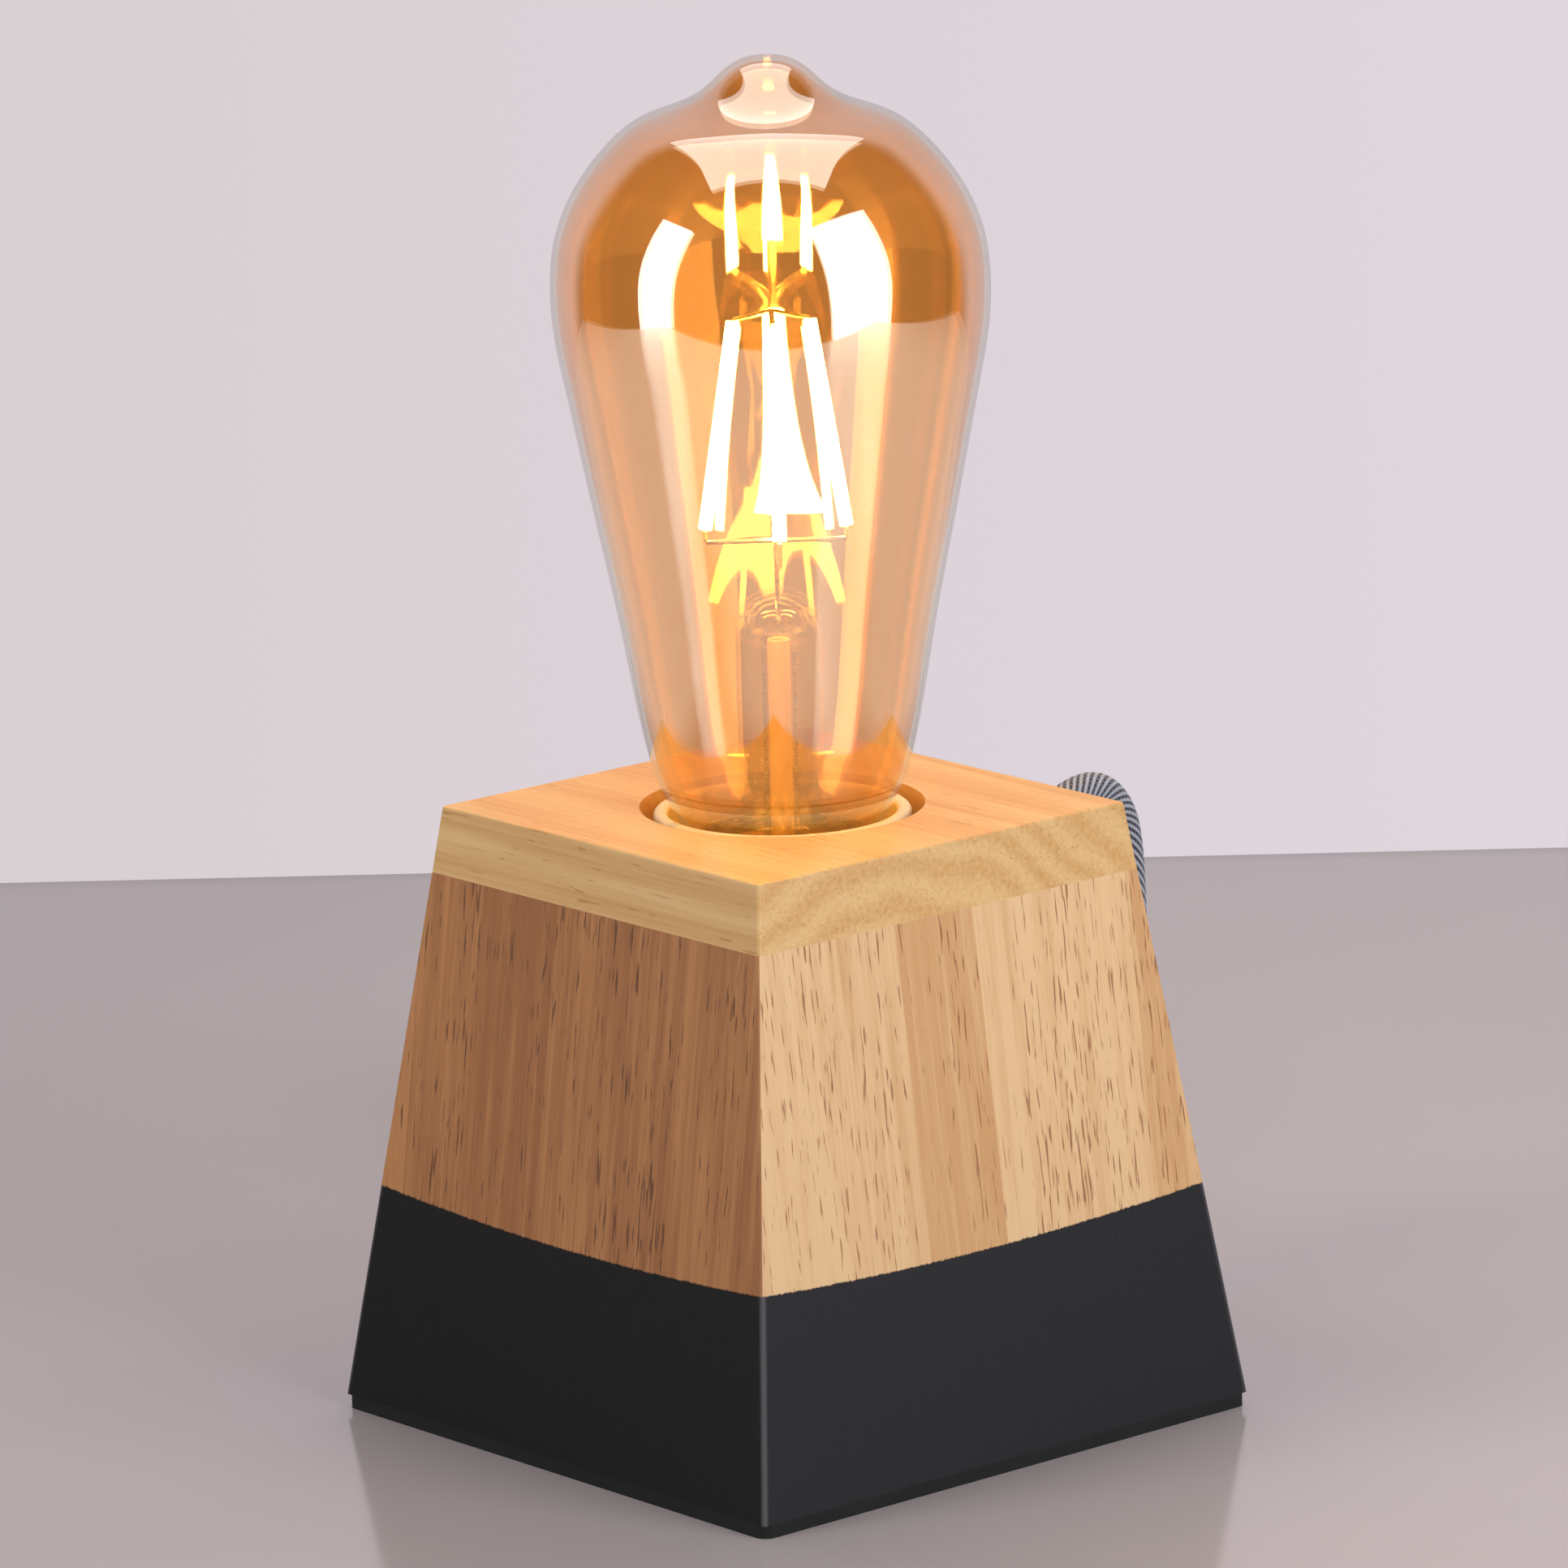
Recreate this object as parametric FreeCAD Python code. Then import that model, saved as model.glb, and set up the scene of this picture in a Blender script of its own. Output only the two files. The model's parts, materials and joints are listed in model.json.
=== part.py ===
"""Bare bulb table lamp: a tapered wooden block, a screw lampholder, a filament bulb and a coiled lead.

Millimetres, +Z up. The origin is the centre of the foot pad's underside. The lead leaves the rear
face (+Y), the cap's long grain runs along X, and a positive turn of the bulb unscrews it.
"""

import FreeCAD, Part
import math
import os
from FreeCAD import Placement, Rotation, Vector

# ---------------------------------------------------------------- wooden block
FOOT_SIDE = 95.0            # side of the square at the bottom of the wood
TOP_SIDE = 71.0             # side of the square at the top of the wood
WOOD_HEIGHT = 90.0          # boards and cap together
CAP_THICKNESS = 10.0
BOARD_THICKNESS = 12.0      # measured level, across the slanting board
EDGE_ROUND = 0.5            # eased outer edges of the wood
CAP_BORE = 42.0             # diameter of the hole that the lampholder stands in
PAD_THICKNESS = 2.0
PAD_CORNER = 2.0
FLOOR_BOARD = 8.0           # thickness of the board that closes the block below
GLUE_BLOCK_HEIGHT = 20.0
GLUE_BLOCK_LEG = 17.0       # level leg of a glue block at its top
GLUE_GAP = 0.1              # slack of a piece let in between others
FLOOR_SCREW_D = 3.5
FLOOR_SCREW_HEAD_D = 6.8
FLOOR_SCREW_BITE = 12.0     # length in the glue block
FLOOR_SCREW_INSET = 5.6     # from the hollow's corner, at the glue block's top
SCREW_SLACK = 0.05
CROSS_SPAN = 0.6            # a screw's cross recess, in shares of its head's diameter
CROSS_WIDTH = 0.18
CROSS_DEPTH = 0.18

# ---------------------------------------------------------------- lampholder
RIM_DROP = 0.6              # holder's rim below the top of the wood
COLLAR_HEIGHT = 33.2
COLLAR_R = 19.0
COLLAR_WALL = 2.2
COLLAR_ROUND = 0.8
SPIGOT_HEIGHT = 7.8         # part of the dome that the collar fits over
SPIGOT_WALL = 1.8
HOLDER_GAP = 0.1            # slack between pieces of the holder
DOME_HEIGHT = 22.0          # from the bracket's plate to the collar
DOME_ROUND = 11.0           # height of the dome's rounded part
DOME_FOOT_R = 9.5
DOME_FLOOR = 4.0            # thickness of the dome's floor
BOSS_R = 8.0
BOSS_HEIGHT = 7.0
LEDGE_WIDTH = 1.2           # ledge that the insert sits on
LEDGE_RISE = 3.0            # ledge above the rounded part
INSERT_HEIGHT = 9.0
SHELL_WALL = 0.4            # threaded shell of the holder
SHELL_DROP = 0.9            # shell's rim below the bulb's skirt
SHELL_HOLE_R = 9.5          # hole in the shell's floor
STRIP_THICKNESS = 0.6       # contact strips
STRIP_WIDTH = 4.0
STRIP_FROM_EDGE = 1.0       # upright part of a strip from the edge of the shell's hole
SIDE_STRIP_FOOT = 3.0       # length of the side contact on its terminal
TONGUE_RISE = 1.3           # underside of the sprung tongue above the insert
TONGUE_HEEL = 3.4           # start of the tongue's rise from its upright part
TONGUE_KNEE_X = -1.6
TONGUE_TOE_X = 3.5
CONTACT_GAP = 0.1           # between tongue and bulb at rest
TERMINAL_X = 8.75           # centre of a terminal from the axis
TERMINAL_SIZE = Vector(6.5, 7.0, 8.0)
TERMINAL_SCREW_R = 1.5
TERMINAL_HEAD_R = 1.9
TERMINAL_HEAD = 1.8
WIRE_D = 2.2
WIRE_SLACK = 0.1
WIRE_TO_SIDE = 1.6          # each wire from the axis, in the stem

# ---------------------------------------------------------------- bracket and threaded stem
STEEL = 1.5                 # thickness of the bracket
LEG_REACH = 23.0            # outer face of a bracket leg from the axis, along the diagonal
LEG_WIDTH = 14.0
EAR_WIDTH = 8.0
EAR_SCREW_OUT = 5.0         # screw in an ear from the leg's outer face
EAR_SCREW_D = 3.0
EAR_SCREW_HEAD_R = 2.8
EAR_SCREW_HEAD = 1.9
EAR_SCREW_BITE = 8.0
STEM_D = 10.0
STEM_BORE = 7.6
STEM_BELOW = 6.5            # stem below the bracket's plate
STEM_ABOVE = 1.0            # stem above the boss
NUT_FLATS = 14.0
NUT_HEIGHT = 3.0
WASHER_THICKNESS = 1.0
WASHER_R = 7.5
WASHER_TEETH = 12
WASHER_NOTCH = (1.5, 1.0)   # depth and width between two teeth

# ---------------------------------------------------------------- bulb
PITCH = 3.629               # seven turns to the inch
THREAD_DEPTH = 1.0
BULB_THREAD_R = 12.6        # mean radius of the bulb's thread
THREAD_SLACK = 0.2
BULB_THREAD_HEIGHT = 17.0
TIN = 0.3                   # wall of the bulb's metal shell
SKIRT_R = 13.5
SKIRT_HEIGHT = 3.2
SHELL_FLOOR_R = 9.0         # hole in the floor of the bulb's metal shell
TIP_R = 4.8
TIP_HEIGHT = 1.5
TIP_BEVEL = (1.0, 0.7)      # sloping edge of the tip: across, up
TIP_GAP = 0.05
INSULATOR_HEIGHT = 4.4
INSULATOR_DISC = 1.5
INSULATOR_BRIM = 0.4        # insulator's lower end past the tip
DISC_GAP = 0.6              # between the disc and the thread's hollows
BULB_ABOVE = 111.0          # top of the glass above the top of the wood
GLASS_WALL = 0.9
GLASS_SLACK = 0.1
GLASS_FOOT_LEAN = 0.3       # outward for each mm up, where the glass leaves the skirt
# The glass: height above the top of the wood, outer radius. A straight cone joins neck and crown.
GLASS_NECK = ((-3.0, 14.5), (-0.6, 16.0), (1.5, 17.1), (3.5, 18.1), (5.6, 18.8))
GLASS_CROWN = (
    (64.0, 30.4), (70.0, 31.5), (77.5, 32.0), (85.0, 31.1), (92.0, 28.1), (98.0, 23.5), (101.5, 19.2),
    (103.2, 15.0), (104.5, 11.9), (106.3, 9.0), (109.2, 5.8), (110.6, 3.2),
)
GLASS_STEM_R = 6.3          # glass stem inside the bulb
GLASS_STEM_WALL = 0.8
GLASS_STEM_TOP = 31.0       # above the top of the wood
GLASS_STEM_FLARE = 4.0      # top of the flare, above the top of the wood
EXHAUST_R = 1.7
EXHAUST_WALL = 0.6
LEAD_WIRE_R = 0.3
LEAD_WIRE_X = 3.4
STICK_R = 1.0               # luminous sticks
STICK_COUNT = 4
STICK_LOW = (41.5, 10.3)    # height above the top of the wood, radius
STICK_HIGH = (72.0, 5.6)
STICK_AZIMUTH = 52.0
SUPPORT_R = 0.35
SUPPORT_GAP = 0.05          # between the upright wire and the glass stem
HUB_RISE = 1.5              # where the wires meet, above the sticks
CROSS_DROPS = (2.0, 3.8)    # the two cross wires below the sticks' lower ends
DRIVER_SIZE = Vector(15.0, 9.0, 9.5)
DRIVER_LIFT = 3.4           # driver above the floor of the bulb's metal shell

# ---------------------------------------------------------------- cord and what is on it
CORD_D = 6.0                # braided textile lead
EXIT_DROP = 15.2            # from the top of the wood to where the cord's axis meets the rear face
BUSHING_WALL = 0.85
BUSHING_GAP = 0.05
BUSHING_FLANGE_R = 5.0
BUSHING_FLANGE = 1.2
BUSHING_NOSE = 8.0          # tapered nose outside the rear face
BUSHING_TAIL = 0.4          # bushing past the board's inner face
COIL_TURNS = 7.157
COIL_LAYERS = 4
COIL_R = 37.0               # outermost turn, at the cord's centre
COIL_STEP = 6.5             # from turn to turn, sideways and upwards
CLIMB = math.pi             # part of a turn over which the coil climbs a layer
TURN_BACK = math.pi / 2     # part of a turn over which the spiral reverses
TIE_THICKNESS = 0.5
TIE_WIDTH = 4.0
TIE_GAP = 0.1
TIE_ROUND = 2.5
TIE_ANGLE = 18.0
SWITCH_LENGTH = 46.0
SWITCH_WIDTH = 20.0
SWITCH_HEIGHT = 14.0
SWITCH_END_WIDTH = 11.0
SWITCH_TAPER = 8.0          # length of each tapered end
SWITCH_WALL = 1.6
SWITCH_ROUND = 1.5          # rounding of the rims
SWITCH_CORNER = 3.0         # rounding of the upright corners
ROCKER_LENGTH = 17.4
ROCKER_WIDTH = 9.0
ROCKER_GAP = 0.35
ROCKER_TILT = 8.0           # at rest, with one end pressed in
ROCKER_BELOW = 2.6          # rocker below its pivot
ROCKER_ABOVE = 3.9
ROCKER_HOLLOW = 0.8         # depth of the rocker's shallow V
PIVOT_DROP = 3.0            # pivot below the switch's top
PIVOT_R = 1.25
PIVOT_SLACK = 0.05
LUG_THICKNESS = 1.8
LUG_HALF = 2.2
PIVOT_SHORT = 0.2           # end of the pivot pin inside its lug
SWITCH_SCREW_R = 1.2
SWITCH_SCREW_HEAD_R = 2.3
SWITCH_SCREW_SINK = 0.2     # head above the underside
SWITCH_SCREW_SHORT = 0.6    # end of a screw below the top wall
SWITCH_BOSS_R = 2.9
SWITCH_BOSS_INSET = (3.2, 2.5)      # centre of a boss from the hollow's end and side
SWITCH_CONTACT_X = (4.0, 9.0)
SWITCH_CONTACT_SIZE = (4.0, 0.8)    # width and thickness
SWITCH_STUD_X = 6.2
SWITCH_STUD_R = 1.4
SWITCH_STUD_HEIGHT = 3.6
PLUG_LENGTH = 35.5
PLUG_WIDTH = 35.3
PLUG_HEIGHT = 13.7
PLUG_NECK = 13.0            # width of the plug where the relief joins it
PLUG_SHOULDER = 15.0        # length over which the plug widens
PLUG_CORNER = 4.0
PLUG_ROUND = 2.0
RELIEF_LENGTH = 20.0
RELIEF_WALL = 0.8           # relief's wall where the cord enters
RELIEF_ROOT_R = 5.4
PIN_D = 4.0
PIN_LENGTH = 19.0
PIN_SPACING = 18.6
PIN_ROOT = 8.0              # length of a pin inside the plug

ARC_SHARE = 0.45            # share of a straight run that the arc at each of its ends takes
# The cord's route, in lists chosen by hand: from the bushing's nose to the switch,
RUN_POINTS = (
    (0.0, 45.46, 77.86), (0.0, 49.42, 78.39), (-1.9, 58.2, 82.1), (-3.5, 66.1, 82.5), (-4.6, 71.4, 77.6),
    (-5.0, 73.1, 69.3), (-5.2, 73.5, 53.0), (-3.9, 73.9, 36.2), (-1.5, 74.1, 19.9), (-6.6, 76.5, 11.5),
    (-14.79, 80.88, 7.0), (-24.06, 84.62, 7.0),
)
# from the switch to the coil, as distance ahead and height,
LEAD_STEPS = ((0.0, 7.0), (7.2, 7.0), (17.8, 3.65), (25.0, 3.65))
# and from the coil to the plug, after a first run straight on.
TAIL_FIRST_RUN = 10.4
TAIL_POINTS = (
    (-149.82, 93.23, 25.8), (-150.48, 82.88, 29.4), (-146.37, 73.28, 32.3), (-138.32, 66.7, 33.4),
    (-128.19, 64.52, 33.4),
)
# A wire's route inside the block: first below the cord's exit, as distance to the side, +Y, drop,
WIRE_FALL = ((1.25, 23.7, 1.8), (1.25, 22.4, 3.4), (1.3, 22.5, 18.8))
# and then its foot, behind the stem and under it.
WIRE_FOOT_Y = 22.6
WIRE_FOOT_SIDE = 1.2
WIRE_BELOW_STEM = 7.6

# ---------------------------------------------------------------- worked out from these
WOOD_Z = PAD_THICKNESS
TOP_Z = WOOD_Z + WOOD_HEIGHT
CAP_Z = TOP_Z - CAP_THICKNESS
SLOPE = (FOOT_SIDE - TOP_SIDE) / 2 / WOOD_HEIGHT
FLOOR_TOP_Z = WOOD_Z + FLOOR_BOARD
GLUE_BLOCK_Z = FLOOR_TOP_Z + GLUE_BLOCK_HEIGHT

RIM_Z = TOP_Z - RIM_DROP
COLLAR_Z = RIM_Z - COLLAR_HEIGHT
DOME_Z = COLLAR_Z - DOME_HEIGHT
BRACKET_Z = DOME_Z - HOLDER_GAP                     # top of the bracket's plate
SPIGOT_R = COLLAR_R - COLLAR_WALL - HOLDER_GAP
SPIGOT_Z = COLLAR_Z + SPIGOT_HEIGHT
INSERT_R = SPIGOT_R - SPIGOT_WALL - HOLDER_GAP
INSERT_Z = DOME_Z + DOME_ROUND + LEDGE_RISE
INSERT_TOP_Z = INSERT_Z + INSERT_HEIGHT
TERMINAL_Z = INSERT_Z - TERMINAL_SIZE.z / 2         # underside of a terminal
TERMINAL_TOP_Z = TERMINAL_Z + TERMINAL_SIZE.z
WIRE_Z = INSERT_Z - WIRE_D / 2 - WIRE_SLACK
STEM_TOP_Z = DOME_Z + BOSS_HEIGHT + STEM_ABOVE
STEM_Z = BRACKET_Z - STEEL - STEM_BELOW
EAR_REACH = LEG_REACH + EAR_SCREW_OUT               # screw in an ear from the axis, along the diagonal

TIP_Z = INSERT_TOP_Z + TONGUE_RISE + STRIP_THICKNESS + CONTACT_GAP
INSULATOR_Z = TIP_Z + TIP_HEIGHT + TIP_GAP
BULB_THREAD_Z = INSULATOR_Z + INSULATOR_HEIGHT
SKIRT_Z = BULB_THREAD_Z + BULB_THREAD_HEIGHT
SKIRT_TOP_Z = SKIRT_Z + SKIRT_HEIGHT
GLASS_FOOT_R = SKIRT_R - TIN - GLASS_SLACK
GLASS_FOOT_Z = SKIRT_Z + TIN + GLASS_SLACK

EXIT_HEIGHT = TOP_Z - EXIT_DROP
# A wire's route inside the block, as distance to the side, +Y, height.
WIRE_BEND = (
    *((side, y, EXIT_HEIGHT - drop) for side, y, drop in WIRE_FALL),
    (WIRE_FOOT_SIDE, WIRE_FOOT_Y, STEM_Z - WIRE_BELOW_STEM), (WIRE_TO_SIDE, 0.0, STEM_Z - WIRE_BELOW_STEM),
)
CORD_R = CORD_D / 2
BUSHING_R = CORD_R + BUSHING_GAP + BUSHING_WALL
PIVOT_Z = SWITCH_HEIGHT - PIVOT_DROP


def half_side(z):
    """Half the side of the wood's square at height z."""
    return FOOT_SIDE / 2 - SLOPE * (z - WOOD_Z)


def hollow_half(z):
    """Half the side of the hollow inside the boards at height z."""
    return half_side(z) - BOARD_THICKNESS


# ---------------------------------------------------------------- plain shapes


def box(low, high):
    """A box between two corners."""
    low, high = Vector(*low), Vector(*high)
    size = high - low
    return Part.makeBox(size.x, size.y, size.z, low)


def rod(radius, low, high, x=0.0, y=0.0):
    """An upright cylinder between two heights."""
    return Part.makeCylinder(radius, high - low, Vector(x, y, low))


def rod_between(radius, start, end):
    """A cylinder from one point to another."""
    return Part.makeCylinder(radius, (end - start).Length, start, end - start)


def ring(outer, inner, low, high):
    """An upright tube between two heights."""
    return rod(outer, low, high).cut(rod(inner, low - 1, high + 1))


def turned(points):
    """A solid turned about the Z axis: corners as (radius, height), with an arc's middle point between
    its ends given as (radius, height, "arc")."""
    places = [Vector(p[0], 0, p[1]) for p in points]
    places.append(places[0])
    edges = []
    i = 0
    while i < len(points):
        if i + 1 < len(points) and len(points[i + 1]) == 3:
            edges.append(Part.Arc(places[i], places[i + 1], places[i + 2]).toShape())
            i += 2
        else:
            edges.append(Part.makeLine(places[i], places[i + 1]))
            i += 1
    return Part.Face(Part.Wire(edges)).revolve(Vector(0, 0, 0), Vector(0, 0, 1), 360)


def bulge(start, upright_end):
    """The middle point of the arc between two (radius, height) points that is upright at the second."""
    across, up = upright_end[0] - start[0], upright_end[1] - start[1]
    centre_r = (upright_end[0] + start[0]) / 2 - up * up / (2 * across)
    radius = upright_end[0] - centre_r
    half = math.atan2(-up * math.copysign(1, radius), (start[0] - centre_r) * math.copysign(1, radius)) / 2
    return (centre_r + radius * math.cos(half), upright_end[1] + radius * math.sin(half), "arc")


def frustum(low, high, inset=0.0):
    """The tapered block between two heights, each face set in by a level distance."""
    wires = []
    for z in (low, high):
        half = half_side(z) - inset
        corners = [Vector(x * half, y * half, z) for x, y in ((-1, -1), (1, -1), (1, 1), (-1, 1))]
        wires.append(Part.makePolygon(corners + corners[:1]))
    return Part.makeLoft(wires, True, True)


def prism(points, low, high):
    """An upright prism on an outline of (x, y) corners."""
    corners = [Vector(x, y, low) for x, y in points]
    return Part.Face(Part.makePolygon(corners + corners[:1])).extrude(Vector(0, 0, high - low))


def eased_prism(points, low, high, corner, rim):
    """An upright prism with its upright edges rounded first, then its two rims."""
    body = prism(points, low, high)
    body = body.makeFillet(corner, [e for e in body.Edges if e.BoundBox.ZLength > (high - low) / 2])
    return body.makeFillet(rim, [e for e in body.Edges if e.BoundBox.ZLength < (high - low) / 2])


def side_prism(points, half_width):
    """A prism along Y, centred on the XZ plane, on an outline of (x, z) corners."""
    corners = [Vector(x, -half_width, z) for x, z in points]
    return Part.Face(Part.makePolygon(corners + corners[:1])).extrude(Vector(0, 2 * half_width, 0))


def mirrored(shape, x=True, y=False):
    """The shape turned over to the other side of the axis."""
    if x:
        shape = shape.mirror(Vector(0, 0, 0), Vector(1, 0, 0))
    if y:
        shape = shape.mirror(Vector(0, 0, 0), Vector(0, 1, 0))
    return shape


def screw_thread(radius, low, high):
    """A rounded single-start thread: a circle set off the axis, swept up a helix. Its phase hangs on the
    height alone, so that a bulb and its holder fit each other wherever their threads begin."""
    spine = Part.Wire(Part.makeHelix(PITCH, high - low, THREAD_DEPTH / 2).Edges)
    first = spine.Edges[0]
    start = first.valueAt(first.FirstParameter)
    sweep = Part.BRepOffsetAPI.MakePipeShell(spine)
    sweep.setTrihedronMode(Vector(0, 0, 0), Vector(0, 0, 1))
    sweep.add(Part.Wire([Part.makeCircle(radius, start, Vector(0, 0, 1))]), False, False)
    sweep.build()
    sweep.makeSolid()
    thread = sweep.shape()
    thread.rotate(Vector(0, 0, 0), Vector(0, 0, 1), 360 * low / PITCH)
    thread.translate(Vector(0, 0, low))
    return thread


# ---------------------------------------------------------------- cord geometry


def rounded_path(points):
    """Straight runs joined by tangent arcs, each as large as its two runs allow. Returns the path and
    the arcs' radii."""
    edges = []
    radii = []
    at = points[0]
    for before, corner, after in zip(points, points[1:], points[2:]):
        back, ahead = before - corner, after - corner
        reach = ARC_SHARE * min(back.Length, ahead.Length)
        turn = math.pi - back.getAngle(ahead)
        radius = reach / math.tan(turn / 2)
        back.normalize()
        ahead.normalize()
        start, end = corner + back * reach, corner + ahead * reach
        inward = (back + ahead).normalize()
        middle = corner + inward * (radius / math.cos(turn / 2) - radius)
        edges.append(Part.makeLine(at, start))
        edges.append(Part.Arc(start, middle, end).toShape())
        radii.append(radius)
        at = end
    edges.append(Part.makeLine(at, points[-1]))
    return Part.Wire(edges), radii


def swept(path, diameter):
    """A round solid along a path."""
    first = path.Edges[0]
    start = first.valueAt(first.FirstParameter)
    ahead = first.tangentAt(first.FirstParameter)
    circle = Part.Wire([Part.makeCircle(diameter / 2, start, ahead)])
    return path.makePipeShell([circle], True, False)


def tube(name, points, diameter):
    """A length of cord or wire, with its radii and volume printed."""
    path, radii = rounded_path([Vector(*p) for p in points])
    solid = swept(path, diameter)
    plain = math.pi * diameter ** 2 / 4 * path.Length
    print(f"{name}: {path.Length:.1f} long, least radius {min(radii):.1f}, volume over section times"
          f" length {solid.Volume / plain:.4f}")
    return solid


def run_heading():
    """The level direction in which the cord enters the switch."""
    last = Vector(*RUN_POINTS[-1]) - Vector(*RUN_POINTS[-2])
    return Vector(last.x, last.y, 0).normalize()


def lead_points():
    """The cord from the switch to the coil."""
    start = Vector(*RUN_POINTS[-1]) + run_heading() * SWITCH_LENGTH
    return [Vector(start.x, start.y, z) + run_heading() * ahead for ahead, z in LEAD_STEPS]


def smooth(share):
    """A rise from 0 to 1 that starts and ends level."""
    share = min(max(share, 0.0), 1.0)
    return share * share * (3 - 2 * share)


class Coil:
    """The put-away cord: one line that spirals in and out, layer upon layer."""

    def __init__(self):
        self.slope = COIL_STEP / (2 * math.pi)
        self.angle = COIL_TURNS * 2 * math.pi
        self.layer_angle = self.angle / COIL_LAYERS
        heading = run_heading()
        entry = lead_points()[-1] + heading * CORD_D
        self.low_z = entry.z
        course = math.atan2(heading.y, heading.x)
        self.first = course - math.pi / 2 - math.atan(self.slope / COIL_R)
        self.centre = entry - Vector(math.cos(self.first), math.sin(self.first), 0) * COIL_R

    def radius(self, angle):
        """Distance from the coil's axis after an angle along the cord."""
        layer = round(angle / self.layer_angle)
        off = abs(angle - layer * self.layer_angle)
        half = TURN_BACK / 2
        if 0 < layer < COIL_LAYERS and off < half:
            off = half / 2 + off * off / (2 * half)
        inward = off if layer % 2 == 0 else self.layer_angle - off
        return COIL_R - self.slope * inward

    def height(self, angle):
        """Height of the cord's centre after an angle along it."""
        climbs = [(angle - k * self.layer_angle) / CLIMB + 0.5 for k in range(1, COIL_LAYERS)]
        return self.low_z + COIL_STEP * sum(smooth(c) for c in climbs)

    def point(self, angle):
        """A point on the cord's centre line."""
        course = self.first + angle
        out = Vector(math.cos(course), math.sin(course), 0) * self.radius(angle)
        return Vector(self.centre.x + out.x, self.centre.y + out.y, self.height(angle))

    def tangent(self, angle):
        """The cord's direction."""
        small = 1e-5
        low, high = max(angle - small, 0.0), min(angle + small, self.angle)
        return (self.point(high) - self.point(low)).normalize()

    def entry(self):
        """Start of the straight piece before the first turn."""
        return self.point(0.0) - self.tangent(0.0) * CORD_D

    def exit(self):
        """End of the straight piece after the last turn."""
        return self.beyond(0.0)

    def beyond(self, reach):
        """A point straight on from the coil's end."""
        return self.point(self.angle) + self.tangent(self.angle) * (CORD_D + reach)

    def path(self):
        """The centre line: quarter turns as pairs of tangent arcs, and straight ends."""
        pieces = math.ceil(self.angle / (math.pi / 2))
        edges = [Part.makeLine(self.entry(), self.point(0.0))]
        for i in range(pieces):
            low, high = self.angle * i / pieces, self.angle * (i + 1) / pieces
            edges += biarc(self.point(low), self.tangent(low), self.point(high), self.tangent(high))
        edges.append(Part.makeLine(self.point(self.angle), self.exit()))
        return Part.Wire(edges)

    def least_gap(self, steps=2400):
        """The least gap between two turns, measured on points."""
        points = [self.point(self.angle * i / steps) for i in range(steps + 1)]
        apart = int(steps * 0.4 / COIL_TURNS)
        least = min(
            points[i].distanceToPoint(points[j])
            for i in range(0, steps, 4)
            for j in range(i + apart, steps + 1, 4)
        )
        return least - CORD_D

    def passes(self, degrees):
        """Radius and height of each turn where it crosses a direction from the coil's axis."""
        start = (math.radians(degrees) - self.first) % (2 * math.pi)
        count = int((self.angle - start) / (2 * math.pi)) + 1
        angles = [start + 2 * math.pi * k for k in range(count)]
        return [(self.radius(a), self.height(a)) for a in angles]


def arc_from(start, tangent, end):
    """The arc that leaves start along a tangent and ends at end."""
    chord = end - start
    lean = tangent.getAngle(chord)
    side = (tangent - chord * (tangent.dot(chord) / chord.dot(chord))).normalize()
    middle = start + chord * 0.5 + side * (chord.Length / 2 * math.tan(lean / 2))
    return Part.Arc(start, middle, end).toShape()


def biarc(start, start_way, end, end_way):
    """Two arcs, tangent to each other and to the directions at both ends."""
    chord = end - start
    ways = start_way + end_way
    bend = 2 * (1 - start_way.dot(end_way))
    along = chord.dot(ways)
    reach = (math.sqrt(along ** 2 + bend * chord.dot(chord)) - along) / bend
    joint = (start + end + (start_way - end_way) * reach) * 0.5
    joint_way = (joint - start - start_way * reach).normalize()
    return [arc_from(start, start_way, joint), arc_from(joint, joint_way, end)]


# ---------------------------------------------------------------- wooden block


def exit_place():
    """The frame of the cord's exit: local +Z points out of the rear face along the cord."""
    where = Vector(0, half_side(EXIT_HEIGHT), EXIT_HEIGHT)
    tilt = 90 - math.degrees(math.atan(SLOPE))
    return Placement(where, Rotation(Vector(-1, 0, 0), tilt))


def at_exit(shape):
    """A shape drawn along +Z, put at the cord's exit."""
    shape.Placement = exit_place().multiply(shape.Placement)
    return shape


def ear_screw_places():
    """Where the bracket's two screws enter the cap."""
    reach = EAR_REACH / math.sqrt(2)
    return [(-reach, -reach), (reach, reach)]


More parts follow.
